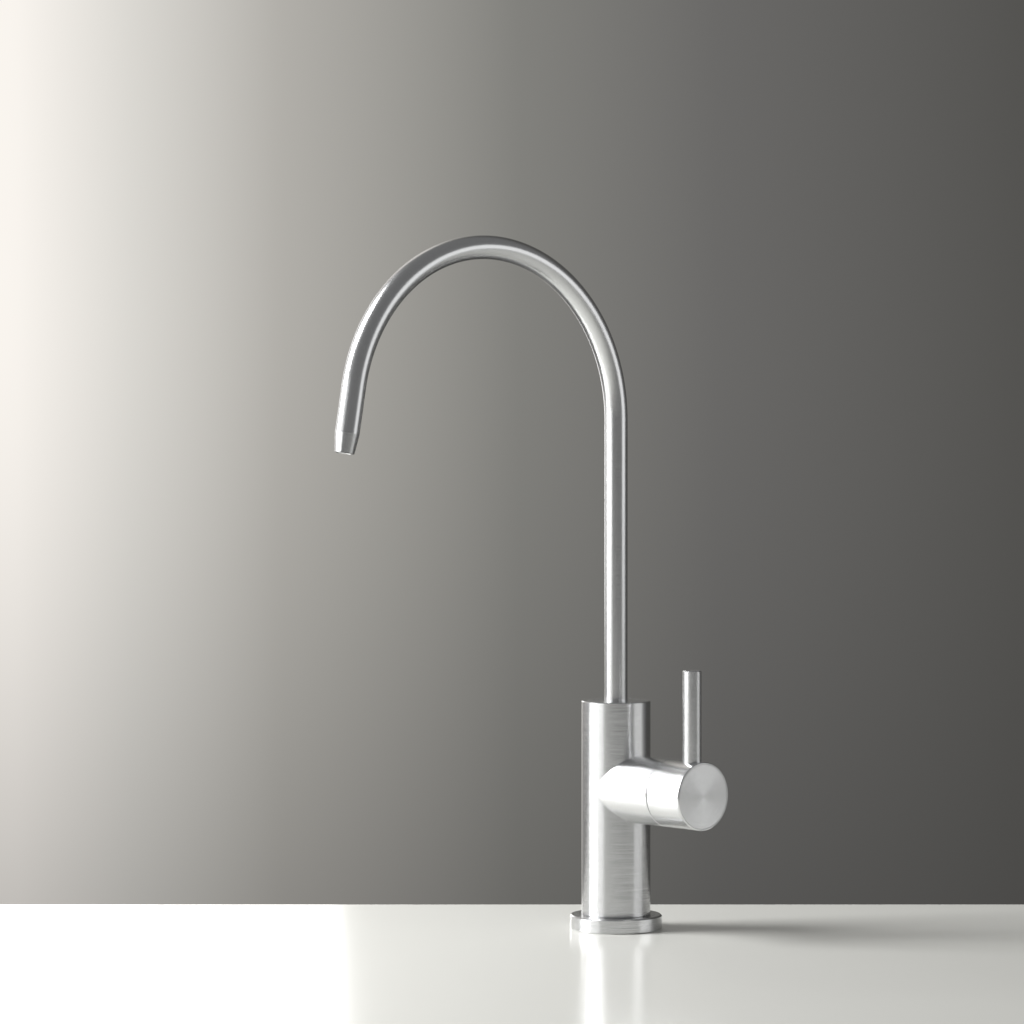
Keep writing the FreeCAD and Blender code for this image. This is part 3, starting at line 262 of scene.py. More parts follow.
def turned(outline, along="Z", place=IN_PLACE):
    """Turn an outline of (radius, distance) points about the body's axis or the hub's."""
    bm = bmesh.new()
    if along == "Z":
        centre, axis = Vector(), Vector((0, 0, 1))
        points = [(radius, 0, distance) for radius, distance in outline]
    else:
        centre, axis = Vector((0, 0, HUB_HEIGHT)), Vector((1, 0, 0))
        points = [(distance, 0, HUB_HEIGHT + radius) for radius, distance in outline]
    verts = [bm.verts.new(point) for point in points]
    pairs = list(zip(verts, verts[1:]))
    if outline[0][0] > 0 or outline[-1][0] > 0:
        pairs.append((verts[-1], verts[0]))
    edges = [bm.edges.new(pair) for pair in pairs]
    steps = bpy.context.scene.faucet_sizes.facets
    bmesh.ops.spin(
        bm, geom=verts + edges, cent=centre, axis=axis, angle=math.tau, steps=steps, use_merge=True
    )
    bmesh.ops.remove_doubles(bm, verts=bm.verts, dist=SAME_PLACE)
    bmesh.ops.transform(bm, matrix=place, verts=bm.verts)
    return bm


def ring_outline(inner, outer, foot, top, edge=0.0):
    """Outline of a ring or rod, with its outer edges chamfered."""
    if edge == 0.0:
        return [(inner, foot), (outer, foot), (outer, top), (inner, top)]
    return [
        (inner, foot),
        (outer - edge, foot),
        (outer, foot + edge),
        (outer, top - edge),
        (outer - edge, top),
        (inner, top),
    ]


def ring_of(node, inner):
    """Outline of a packed ring or washer round a hole of the given radius."""
    return ring_outline(inner, reach_of(node, "X"), *span_of(node, "Z"))


def boolean(piece, tool, operation="DIFFERENCE"):
    """Join a piece with another or cut it, and drop the other."""
    change = piece.modifiers.new("Joined", "BOOLEAN")
    change.object = tool
    change.operation = operation
    change.solver = "EXACT"
    settled = bpy.data.meshes.new_from_object(piece.evaluated_get(bpy.context.evaluated_depsgraph_get()))
    piece.modifiers.clear()
    spent = [piece.data, tool.data]
    piece.data = settled
    bpy.data.objects.remove(tool)
    for mesh in spent:
        bpy.data.meshes.remove(mesh)
    bm = bmesh.new()
    bm.from_mesh(settled)
    crisp(bm)
    bm.to_mesh(settled)
    bm.free()


def recut(piece, outline, along="Z", operation="DIFFERENCE"):
    """Cut a turned shape out of a piece, or join the two.

    Each cutting outline stands out of the metal by the width of an edge.
    """
    boolean(piece, as_piece(turned(outline, along), "tool"), operation)


def drill(piece, radius, start, length, heading):
    """Cut a round hole that starts at a point and runs in a direction."""
    bm = bmesh.new()
    turn = Vector(heading).to_track_quat("Z", "Y").to_matrix().to_4x4()
    middle = Matrix.Translation((0, 0, length / 2))
    bmesh.ops.create_cone(
        bm, cap_ends=True, segments=bpy.context.scene.faucet_sizes.facets // HOLE_SHARE,
        radius1=radius, radius2=radius, depth=length, matrix=Matrix.Translation(start) @ turn @ middle,
    )
    boolean(piece, as_piece(bm, "tool"))


# Shading


class Channel:
    """A socket of numbers, on which arithmetic adds Math nodes."""

    def __init__(self, shader, socket):
        self.shader = shader
        self.socket = socket

    def maths(self, operation, *values):
        """Add a Math node."""
        return self.shader.node("ShaderNodeMath", {"operation": operation}, dict(enumerate(values)))

    def __add__(self, other):
        return self.maths("ADD", self, other)

    def __sub__(self, other):
        return self.maths("SUBTRACT", self, other)

    def __rsub__(self, other):
        return self.maths("SUBTRACT", other, self)

    def __mul__(self, other):
        return self.maths("MULTIPLY", self, other)

    __radd__ = __add__
    __rmul__ = __mul__


class Shader:
    """One material under construction."""

    # How much each finer layer of a noise counts
    NOISE_ROUGHNESS = 0.55

    def __init__(self, name):
        self.material = bpy.data.materials.new(name)
        self.material.use_nodes = True
        self.tree = self.material.node_tree
        self.surface = self.tree.nodes["Principled BSDF"]

    def node(self, kind, settings=None, inputs=None, output=0):
        """Add a node: its settings first, then the values or links of its sockets."""
        made = self.tree.nodes.new(kind)
        for setting, value in (settings or {}).items():
            if setting == "stops":
                self.place_stops(made.color_ramp, value)
            else:
                setattr(made, setting, value)
        for socket, value in (inputs or {}).items():
            self.feed(made.inputs[socket], value)
        return Channel(self, made.outputs[output])

    def place_stops(self, ramp, stops):
        """Set a colour ramp's stops, as (place, colour)."""
        while len(ramp.elements) < len(stops):
            ramp.elements.new(1.0)
        for element, (place, colour) in zip(ramp.elements, stops):
            element.position = place
            element.color = (*colour, 1.0)

    def feed(self, socket, value):
        """Link a channel to a socket, or set the socket to a value."""
        if isinstance(value, Channel):
            self.tree.links.new(value.socket, socket)
        else:
            socket.default_value = value

    def set(self, **inputs):
        """Values or links for the surface, named with underscores for spaces."""
        for name, value in inputs.items():
            self.feed(self.surface.inputs[name.replace("_", " ")], value)

    def place(self):
        """Where a point lies in the piece, in metres."""
        return self.node("ShaderNodeTexCoord", output="Object")

    def attribute(self, name):
        """A vector that the piece's mesh carries."""
        return self.node("ShaderNodeAttribute", {"attribute_name": name}, output="Vector")

    def vector(self, operation, *values, output="Vector"):
        """Add a Vector Math node."""
        return self.node("ShaderNodeVectorMath", {"operation": operation}, dict(enumerate(values)), output)

    def scaled(self, vector, amount):
        """A vector times a number."""
        return self.node("ShaderNodeVectorMath", {"operation": "SCALE"}, {0: vector, "Scale": amount})

    def parts(self, vector):
        """The vector's three numbers."""
        made = self.node("ShaderNodeSeparateXYZ", None, {0: vector})
        return [Channel(self, socket) for socket in made.socket.node.outputs]

    def to_world(self, vector):
        """A direction of the piece as it points in the scene."""
        settings = {"vector_type": "VECTOR", "convert_from": "OBJECT", "convert_to": "WORLD"}
        return self.node("ShaderNodeVectorTransform", settings, {0: vector})

    def noise(self, vector, detail, scale=1.0, output="Fac"):
        """Smooth noise between 0 and 1."""
        inputs = {"Vector": vector, "Scale": scale, "Detail": detail, "Roughness": self.NOISE_ROUGHNESS}
        return self.node("ShaderNodeTexNoise", {"noise_dimensions": "3D"}, inputs, output)

    def blend(self, amount, first, second):
        """Colours mixed by a channel; either may be a link."""
        ends = [end if isinstance(end, Channel) else (*end, 1.0) for end in (first, second)]
        inputs = {"Factor": amount, "A": ends[0], "B": ends[1]}
        return self.node("ShaderNodeMix", {"data_type": "RGBA"}, inputs, output="Result")

    def bump(self, height, depth):
        """The surface's normal, with a channel as relief of a depth in metres."""
        return self.node("ShaderNodeBump", None, {"Distance": depth, "Height": height})


def shaded(colour, factor, lift=0.0):
    """A colour times a factor, plus a little."""
    return [min(1.0, factor * level + lift) for level in colour]


# Clouds in a metre of brushed steel, their weight in its tone, and what streaks and clouds add to roughness
CLOUDS, CLOUD_WEIGHT, STREAK_ROUGHNESS, CLOUD_ROUGHNESS = 38.0, 0.4, 0.008, 0.03
# Its darkest and its lightest streaks, as shares of its colour
DULL, BRIGHT = 0.96, 1.03


def satin_steel(name, axis, centre=(0, 0, 0), bent=False, rod=False):
    """Stainless steel brushed round its axis: each fine line tilts the surface a little its own way.

    The bent tube takes its place along the axis from the mesh, and it and the rods have the finer finish.
    """
    finish = bpy.context.scene.faucet_finish
    roughness, grain = finish.steel_roughness, finish.grain
    if rod or bent:
        roughness, grain = finish.tube_roughness, finish.tube_grain
    shader = Shader(name)
    place = shader.attribute("straightened") if bent else shader.place()
    arm = shader.vector("CROSS_PRODUCT", axis, shader.vector("SUBTRACT", place, centre))
    outward = shader.vector("NORMALIZE", shader.vector("CROSS_PRODUCT", arm, axis))
    out = shader.vector("LENGTH", arm, output="Value")
    level = out + shader.vector("DOT_PRODUCT", axis, place, output="Value")
    lines = shader.vector("ADD", outward, shader.scaled(axis, level * finish.lines_per_metre))
    streaks = shader.vector("ADD", outward, shader.scaled(axis, level * finish.streaks_per_metre))
    marks = shader.noise(lines, detail=1.0, output="Color")
    lengthwise, across, _ = shader.parts(shader.vector("SUBTRACT", marks, (0.5, 0.5, 0.5)))
    tone = shader.noise(streaks, detail=2.0) - 0.5
    normal = shader.node("ShaderNodeNewGeometry", output="Normal")
    if bent:
        way = shader.vector("CROSS_PRODUCT", shader.to_world(shader.attribute("heading")), normal)
    else:
        way = shader.to_world(shader.vector("NORMALIZE", arm))
    tilt = shader.vector(
        "ADD",
        shader.scaled(way, lengthwise * finish.waver),
        shader.scaled(shader.vector("CROSS_PRODUCT", normal, way), across * grain),
    )
    cloud = shader.noise(place, scale=CLOUDS, detail=2.0) - 0.5
    sheen = tone + cloud * CLOUD_WEIGHT + 0.5
    shader.set(
        Base_Color=shader.blend(sheen, shaded(finish.steel, DULL), shaded(finish.steel, BRIGHT)),
        Metallic=1.0,
        Roughness=tone * STREAK_ROUGHNESS + cloud * CLOUD_ROUGHNESS + roughness,
        Normal=shader.vector("NORMALIZE", shader.vector("ADD", normal, tilt)),
    )
    return shader.material


def turned_metal(name, colour, roughness, along):
    """Machined brass or plated steel, with tool marks drawn out round its axis."""
    shader = Shader(name)
    place = shader.place()
    fine, drawn_out, mark_depth, unevenness = 3400.0, 60.0, 5e-6, 0.2
    dull, bright = shaded(colour, 0.82), shaded(colour, 1.12)
    scale = (drawn_out, drawn_out, fine) if along == "Z" else (fine, drawn_out, drawn_out)
    marks = shader.noise(shader.vector("MULTIPLY", place, scale), detail=3.0)
    cloud = shader.noise(place, scale=160.0, detail=3.0)
    tone = marks * 0.5 + cloud * 0.5
    shader.set(
        Base_Color=shader.blend(tone, dull, bright),
        Metallic=1.0,
        Roughness=(cloud - 0.5) * unevenness + roughness,
        Normal=shader.bump(marks, mark_depth),
    )
    return shader.material


def moulded(name, colour, roughness, speckle, depth):
    """Rubber, plastic or ceramic: faint mottling and a fine skin."""
    shader = Shader(name)
    place = shader.place()
    cloud = shader.noise(place, scale=220.0, detail=3.0)
    skin = shader.noise(place, scale=speckle, detail=2.0)
    mottled, unevenness = shaded(colour, 1.25, lift=0.004), 0.12
    shader.set(
        Base_Color=shader.blend(cloud, colour, mottled),
        Roughness=(skin - 0.5) * unevenness + roughness,
        Normal=shader.bump(skin, depth),
    )
    return shader.material


# Name, colour, roughness and axis of the machined finishes
TURNED_FINISHES = (
    ("plated_steel", "plated", 0.3, "Z"),
    ("plated_steel_x", "plated", 0.3, "X"),
    ("brass_z", "brass", 0.32, "Z"),
    ("brass_x", "brass", 0.32, "X"),
)
# Name, colour, roughness, speckles in a metre and depth of the skin in metres
MOULDED_FINISHES = (
    ("black_rubber", "rubber", 0.55, 5200.0, 8e-6),
    ("ceramic", "ceramic", 0.18, 2600.0, 1e-6),
    ("low_friction_plastic", "plastic", 0.42, 3600.0, 3e-6),
)


def materials():
    """The finishes, made once and shared by the pieces."""
    if "satin_column" not in bpy.data.materials:
        finish = bpy.context.scene.faucet_finish
        upright, level = Vector((0, 0, 1)), Vector((1, 0, 0))
        tip_axis = way_after(bpy.context.scene.faucet_sizes.arch_sweep)
        tip_middle = sum(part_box("spout_tip"), Vector()) / 2
        satin_steel("satin_column", upright)
        satin_steel("satin_hub", level, Vector((0, 0, HUB_HEIGHT)))
        satin_steel("satin_lever", upright, Vector((middle_of("lever_rod", "X"), 0, 0)), rod=True)
        satin_steel("satin_tube", upright, bent=True)
        satin_steel("satin_tip", tip_axis, tip_middle, rod=True)
        for name, colour, roughness, along in TURNED_FINISHES:
            turned_metal(name, getattr(finish, colour), roughness, along)
        for name, colour, roughness, speckle, depth in MOULDED_FINISHES:
            moulded(name, getattr(finish, colour), roughness, speckle, depth)
    return bpy.data.materials


def dress(piece, *finishes):
    """Give a piece its finishes, with the main one first."""
    piece.data.materials.clear()
    for finish in finishes:
        piece.data.materials.append(materials()[finish])


def finish_piece(piece, body, node, slot, *finishes):
    """Dress a piece, hang it on its body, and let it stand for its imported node."""
    dress(piece, *finishes)
    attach(piece, body)
    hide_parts(node)


class PieceMaker:
    """An operator that makes its pieces from the sizes."""

    def execute(self, context):
        self.make(context.scene.faucet_sizes)
        return {"FINISHED"}


# Pieces of the base


class FAUCET_OT_base_flange(PieceMaker, bpy.types.Operator):
    """Turn the base flange and the rubber seal let into its underside"""

    bl_idname = "faucet.base_flange"
    bl_label = "Base flange"

    def make(self, size):
        bore = reach_of("threaded_shank", "X") + size.hole_gap
        seal, seal_top = reach_of("deck_seal", "X"), reach_of("deck_seal", "Z")
        outer, top = reach_of("base_flange", "X"), reach_of("base_flange", "Z")
        flange = as_piece(turned([
            (bore, seal_top),
            (seal + size.fit, seal_top),
            (seal + size.fit, 0.0),
            (outer - size.edge, 0.0),
            (outer, size.edge),
            (outer, top - size.flange_edge),
            (outer - size.flange_edge, top),
            (bore, top),
        ]), "turned_base_flange")
        finish_piece(flange, "base", "base_flange", "satin_stainless", "satin_column")
        ring = as_piece(turned(ring_outline(bore, seal, 0.0, seal_top)), "flat_deck_seal")
        finish_piece(ring, "base", "deck_seal", "black_rubber", "black_rubber")


class FAUCET_OT_body(PieceMaker, bpy.types.Operator):
    """Turn the body and its side hub as one piece, and bore the waterways"""

    bl_idname = "faucet.body"
    bl_label = "Body and side hub"

    def make(self, size):
        radius, face = -foot_of("faucet_body", "X"), reach_of("faucet_body", "X")
        foot, top = span_of("faucet_body", "Z")
        hub = reach_of("handle_barrel", "Z") - HUB_HEIGHT
        body = as_piece(turned(ring_outline(0.0, radius, foot, top, size.edge)), "body_and_hub")
        recut(body, [
            (0.0, 0.0),
            (hub, 0.0),
            (hub, face - size.edge / 2),
            (hub - size.edge / 2, face),
            (0.0, face),
        ], "X", "UNION")
        self.bore_valve(body, size, face)
        self.bore_inlet(body, size, foot)
        self.bore_swivel(body, size, top)
        screw, inside_bore = reach_of("spout_grub_screw", "X"), radius / 3
        screw_height = reach_of("spout_grub_screw", "Z") - screw
        drill(body, screw + size.fit, (0, inside_bore, screw_height), radius, (0, 1, 0))
        finish_piece(body, "base", "faucet_body", "satin_stainless", "satin_column", "satin_hub")
        # the hub's faces are brushed round the hub's axis
        for polygon in body.data.polygons:
            middle = polygon.center
            on_hub = abs(math.hypot(middle.y, middle.z - HUB_HEIGHT) - hub) < size.edge
            polygon.material_index = int((on_hub and middle.x > 0) or middle.x > radius)

    def bore_valve(self, body, size, face):
        """The way into the hub, the valve's chamber and the hub's mouth."""
        seat, mouth_end = foot_of("seat_seal", "X"), face - size.mouth_depth
        recut(body, [
            (0.0, 0.0),
            (size.inlet, 0.0),
            (size.inlet, seat),
            (size.chamber, seat),
            (size.chamber, mouth_end),
            (size.mouth, mouth_end),
            (size.mouth, face + size.edge),
            (0.0, face + size.edge),
        ], "X")

    def bore_inlet(self, body, size, foot):
        """The shank's socket, and the inlet from there up to the hub."""
        shank = reach_of("threaded_shank", "X") + size.fit
        shank_end = reach_of("threaded_shank", "Z") + size.end_play
        inlet = size.inlet * CROSSING
        recut(body, [
            (0.0, foot - size.edge),
            (shank, foot - size.edge),
            (shank, shank_end),
            (inlet, shank_end),
            (inlet, HUB_HEIGHT),
            (0.0, HUB_HEIGHT),
        ])

    def bore_swivel(self, body, size, top):
        """The spigot's guide, the cover ring's seat, the water space below, and the outlet into it."""
        spigot = reach_of("swivel_spigot", "X")
        spigot_foot = foot_of("swivel_spigot", "Z") - size.end_play
        cover, cover_foot = reach_of("cover_ring", "X") + size.fit, foot_of("cover_ring", "Z")
        plenum, ledge, guide = spigot_foot - size.plenum_depth, spigot - size.plenum_step, spigot + size.run
        recut(body, [
            (0.0, plenum),
            (ledge, plenum),
            (ledge, spigot_foot),
            (guide, spigot_foot),
            (guide, cover_foot),
            (cover, cover_foot),
            (cover, top + size.edge),
            (0.0, top + size.edge),
        ])
        start = (ledge - size.outlet - size.fit, 0.0, plenum + size.fit)
        drill(body, size.outlet, start, size.outlet_depth, (0, 0, -1))


class FAUCET_OT_cover_ring(PieceMaker, bpy.types.Operator):
    """Turn the ring that lies flush in the body's top, round the tube"""

    bl_idname = "faucet.cover_ring"
    bl_label = "Cover ring"

    def make(self, size):
        inner = reach_of("spout_tube", "X") + size.pass_by
        ring = as_piece(turned(ring_of("cover_ring", inner)), "flush_cover_ring")
        finish_piece(ring, "base", "cover_ring", "satin_stainless", "satin_column")


class FAUCET_OT_mounting(PieceMaker, bpy.types.Operator):
    """Cut the threaded shank, and make the washers and nut that clamp the deck"""

    bl_idname = "faucet.mounting"
    bl_label = "Mounting under the deck"

    # The thread's profile in shares of its depth and its pitch, a turn's steps, and the turns cut off again
    THREAD_PROFILE = ((0.0, 0.0), (0.0, 0.1), (1.0, 0.45), (1.0, 0.65), (0.0, 1.0))
    TURN_STEPS = 48
    SPARE_TURNS = 2

    def make(self, size):
        self.make_shank(size)
        bore = reach_of("threaded_shank", "X") + size.hole_gap
        for node, name, finish in (
            ("rubber_washer", "thick_rubber_washer", "black_rubber"),
            ("steel_washer", "flat_steel_washer", "plated_steel"),
        ):
            washer = as_piece(turned(ring_of(node, bore)), name)
            finish_piece(washer, "base", node, finish, finish)
        self.make_nut(size)

    def make_shank(self, size):
        """A helical thread, cut square at both ends, with the waterway and the supply socket."""
        root = reach_of("threaded_shank", "X") - size.thread_depth
        foot, top = span_of("threaded_shank", "Z")
        pitch = size.thread_pitch
        turns = math.ceil((top - foot) / pitch) + self.SPARE_TURNS
        start = foot - pitch
        bm = bmesh.new()
        verts = [
            bm.verts.new((root + out * size.thread_depth, 0, start + along * pitch))
            for out, along in self.THREAD_PROFILE
        ]
        edges = [bm.edges.new(pair) for pair in zip(verts, verts[1:])]
        bmesh.ops.spin(
            bm, geom=verts + edges, cent=(0, 0, 0), axis=(0, 0, 1), dvec=(0, 0, pitch / self.TURN_STEPS),
            angle=math.tau * turns, steps=self.TURN_STEPS * turns,
        )
        bmesh.ops.remove_doubles(bm, verts=bm.verts, dist=SAME_ROW)
        for height, outwards in ((foot, -1), (top, 1)):
            cut = bmesh.ops.bisect_plane(
                bm, geom=bm.verts[:] + bm.edges[:] + bm.faces[:], plane_co=(0, 0, height),
                plane_no=(0, 0, outwards), clear_outer=True, dist=SAME_PLACE,
            )
            rim = [item for item in cut["geom_cut"] if isinstance(item, bmesh.types.BMEdge)]
            bmesh.ops.holes_fill(bm, edges=rim, sides=0)
        shank = as_piece(bm, "threaded_hollow_shank")
        cone = size.supply + size.supply_cone
        recut(shank, [
            (0.0, foot - size.edge),
            (cone + size.edge, foot - size.edge),
            (cone + size.edge, foot),
            (cone, foot),
            (size.supply, foot + size.supply_cone),
            (size.supply, foot + size.supply_depth),
            (size.shank_bore, foot + size.supply_depth),
            (size.shank_bore, top + size.edge),
            (0.0, top + size.edge),
        ])
        finish_piece(shank, "base", "threaded_shank", "brass", "brass_z")

    def make_nut(self, size):
        """A hexagon nut with turned corners."""
        foot, top = span_of("lock_nut", "Z")
        flat = size.nut_across / 2
        corner = flat / math.cos(HALF_SIDE)
        bm = bmesh.new()
        bmesh.ops.create_cone(
            bm, cap_ends=True, segments=6, radius1=corner, radius2=corner, depth=top - foot,
            matrix=Matrix.Translation((0, 0, (foot + top) / 2)) @ Matrix.Rotation(HALF_SIDE, 4, "Z"),
        )
        nut = as_piece(bm, "hexagon_lock_nut")
        past_corner = corner + size.edge
        fall = (past_corner - flat) * math.tan(HALF_SIDE)
        recut(nut, [
            (0.0, foot),
            (flat, foot),
            (past_corner, foot + fall),
            (past_corner, top - fall),
            (flat, top),
            (0.0, top),
        ], operation="INTERSECT")
        bore = reach_of("threaded_shank", "X") + size.fit
        recut(nut, ring_outline(0.0, bore, foot - size.edge, top + size.edge))
        finish_piece(nut, "base", "lock_nut", "brass", "brass_z")


# Pieces of the spout


class FAUCET_OT_spout_tube(PieceMaker, bpy.types.Operator):
    """Bend the spout tube: straight up, over in one arch, and down a short straight end"""

    bl_idname = "faucet.spout_tube"
    bl_label = "Spout tube"

    def make(self, size):
        radius, foot = reach_of("spout_tube", "X"), foot_of("spout_tube", "Z")
        spring = reach_of("faucet_body", "Z") + size.arch_lift
        bm = bmesh.new()
        bmesh.ops.create_circle(
            bm, segments=size.facets // TUBE_SHARE, radius=radius, matrix=Matrix.Translation((0, 0, foot))
        )
        rim = self.grow(bm, bm.edges[:], Vector((0, 0, spring - foot)))
        over = bmesh.ops.spin(
            bm, geom=rim, cent=(0, -size.arch_radius, spring), axis=(1, 0, 0),
            angle=size.arch_sweep, steps=size.bend_steps,
        )
        rim = [item for item in over["geom_last"] if isinstance(item, bmesh.types.BMEdge)]
        self.grow(bm, rim, way_after(size.arch_sweep) * size.drop)
        # outward, so that the wall grows inwards
        bmesh.ops.recalc_face_normals(bm, faces=bm.faces)
        if max(face.normal.x for face in bm.faces if face.calc_center_median().x > 0) <= 0:
            bmesh.ops.reverse_faces(bm, faces=bm.faces)
        bmesh.ops.solidify(bm, geom=bm.faces[:], thickness=size.tube_wall)
        tube = as_piece(bm, "bent_spout_tube")
        places = tube.data.attributes.new("straightened", "FLOAT_VECTOR", "POINT")
        ways = tube.data.attributes.new("heading", "FLOAT_VECTOR", "POINT")
        for vertex, place, way in zip(tube.data.vertices, places.data, ways.data):
            place.vector, way.vector = self.straightened(vertex.co, spring, size)
        finish_piece(tube, "spout", "spout_tube", "satin_stainless", "satin_tube")

    def grow(self, bm, rim, move):
        """Pull the open rim along, and return the new rim's edges."""
        grown = bmesh.ops.extrude_edge_only(bm, edges=rim)["geom"]
        points = [item for item in grown if isinstance(item, bmesh.types.BMVert)]
        bmesh.ops.translate(bm, vec=move, verts=points)
        return [item for item in grown if isinstance(item, bmesh.types.BMEdge)]

    def straightened(self, point, spring, size):
        """Where the point lay before the tube was bent, and which way the tube now runs there."""
        if point.z <= spring and point.y > -size.arch_radius:
            return point, Vector((0, 0, 1))
        across, up = point.y + size.arch_radius, point.z - spring
        turn = min(math.atan2(up, across) % math.tau, size.arch_sweep)
        run = way_after(turn)
        past = across * run.y + up * run.z
        outward = across * run.z - up * run.y
        along = spring + turn * size.arch_radius + max(past, 0.0)
        return Vector((point.x, outward - size.arch_radius, along)), run


class FAUCET_OT_spout_tip(PieceMaker, bpy.types.Operator):
    """Turn the tapered outlet tip at the tube's end"""

    bl_idname = "faucet.spout_tip"
    bl_label = "Outlet tip"

    def make(self, size):
        tube = reach_of("spout_tube", "X")
        spring = reach_of("faucet_body", "Z") + size.arch_lift
        outward = Vector((0, math.cos(size.arch_sweep), math.sin(size.arch_sweep)))
        arch_centre = Vector((0, -size.arch_radius, spring))
        end = arch_centre + outward * size.arch_radius + way_after(size.arch_sweep) * size.drop
        place = Matrix.Translation(end) @ Matrix.Rotation(size.arch_sweep, 4, "X")
        plug = tube - size.tube_wall - size.fit
        tip = as_piece(turned([
            (size.tip_throat, -size.tip_plug),
            (plug, -size.tip_plug),
            (plug, 0.0),
            (tube, 0.0),
            (size.tip_mouth, size.tip_length),
            (size.tip_bore + size.edge, size.tip_length),
            (size.tip_bore, size.tip_length - size.edge),
            (size.tip_bore, 0.0),
            (size.tip_throat, 0.0),
        ], place=place), "tapered_outlet_tip")
        finish_piece(tip, "spout", "spout_tip", "satin_stainless", "satin_tip")


# Pieces of the handle


class FAUCET_OT_handle_barrel(PieceMaker, bpy.types.Operator):
    """Turn the handle barrel, and let the lever's socket into it"""

    bl_idname = "faucet.handle_barrel"
    bl_label = "Handle barrel"

    def make(self, size):
        radius = reach_of("handle_barrel", "Z") - HUB_HEIGHT
        start, end = span_of("handle_barrel", "X")
        glide = reach_of("glide_ring", "Z") - HUB_HEIGHT + size.fit
        glide_back = reach_of("glide_ring", "X")
        web = reach_of("spindle", "X") - size.drive_length
        screw_seat = reach_of("handle_screw", "X") - size.screw_head
        head = reach_of("handle_screw", "Z") - HUB_HEIGHT + size.pass_by
        floor = reach_of("spindle", "X") + size.end_play
        plug = foot_of("end_cap", "X") - size.end_play
        cap = end - size.cap_disc
        barrel = as_piece(turned([
            (glide, start),
            (radius - size.edge / 2, start),
            (radius, start + size.edge / 2),
            (radius, end - size.edge),
            (radius - size.edge, end),
            (radius - size.cap_rim, end),
            (radius - size.cap_rim, cap),
            (radius - size.cap_plug_step, cap),
            (radius - size.cap_plug_step, plug),
            (head, plug),
            (head, screw_seat),
            (size.screw_hole, screw_seat),
            (size.screw_hole, floor),
            (size.drive_hole, floor),
            (size.drive_hole, web),
            (size.mouth, web),
            (size.mouth, glide_back),
            (glide, glide_back),
        ], "X"), "turned_handle_barrel")
        lever = half_of("lever_rod", "X") + size.fit
        above = (middle_of("lever_rod", "X"), 0, HUB_HEIGHT + radius + size.edge)
        sink = size.lever_sink + size.edge
        drill(barrel, lever, above, sink, (0, 0, -1))
        deep = sink + size.stud_length + size.end_play
        drill(barrel, size.stud + size.fit, above, deep, (0, 0, -1))
        finish_piece(barrel, "handle", "handle_barrel", "satin_stainless", "satin_hub")


class FAUCET_OT_lever(PieceMaker, bpy.types.Operator):
    """Turn the lever rod with its stud"""

    bl_idname = "faucet.lever"
    bl_label = "Lever rod"

    def make(self, size):
        middle, radius = middle_of("lever_rod", "X"), half_of("lever_rod", "X")
        foot, top = span_of("lever_rod", "Z")
        shoulder = foot + size.stud_length
        rod = as_piece(turned([
            (0.0, foot),
            (size.stud - size.edge, foot),
            (size.stud, foot + size.edge),
            (size.stud, shoulder),
            (radius, shoulder),
            (radius, top - size.edge),
            (radius - size.edge, top),
            (0.0, top),
        ], place=Matrix.Translation((middle, 0, 0))), "straight_lever_rod")
        finish_piece(rod, "handle", "lever_rod", "satin_stainless", "satin_lever")


class FAUCET_OT_end_cap(PieceMaker, bpy.types.Operator):
    """Turn the disc that closes the barrel's end"""

    bl_idname = "faucet.end_cap"
    bl_label = "End cap"

    def make(self, size):
        barrel = reach_of("handle_barrel", "Z") - HUB_HEIGHT
        disc = barrel - size.cap_rim - size.fit
        plug = barrel - size.cap_plug_step - size.fit
        start, end = span_of("end_cap", "X")
        back = end - size.cap_disc
        cap = as_piece(turned([
            (plug - size.cap_plug_wall, start),
            (plug, start),
            (plug, back),
            (disc, back),
            (disc, end - size.edge / 2),
            (disc - size.edge / 2, end),
            (0.0, end),
            (0.0, back),
            (plug - size.cap_plug_wall, back),
        ], "X"), "plain_end_cap")
        finish_piece(cap, "handle", "end_cap", "satin_stainless", "satin_hub")


class FAUCET_OT_inner_pieces(bpy.types.Operator):
    """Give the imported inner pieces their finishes"""

    bl_idname = "faucet.inner_pieces"
    bl_label = "Valve and inner pieces"

    FINISHES = {
        "plated_steel": ("lock_washer", "spout_grub_screw"),
        "plated_steel_x": ("spindle_clip", "handle_screw"),
        "brass_z": ("swivel_spigot",),
        "brass_x": ("cartridge_housing", "spindle"),
        "black_rubber": (
            "lower_spout_ring", "upper_spout_ring", "cartridge_ring", "seat_seal",
            "front_spindle_ring", "rear_spindle_ring",
        ),
        "ceramic": ("fixed_disc", "moving_disc"),
        "low_friction_plastic": ("thrust_washer", "glide_ring"),
    }

    def execute(self, context):
        for finish, nodes in self.FINISHES.items():
            for node in nodes:
                dress(frame["nodes"][node], finish)
        return {"FINISHED"}


# Studio


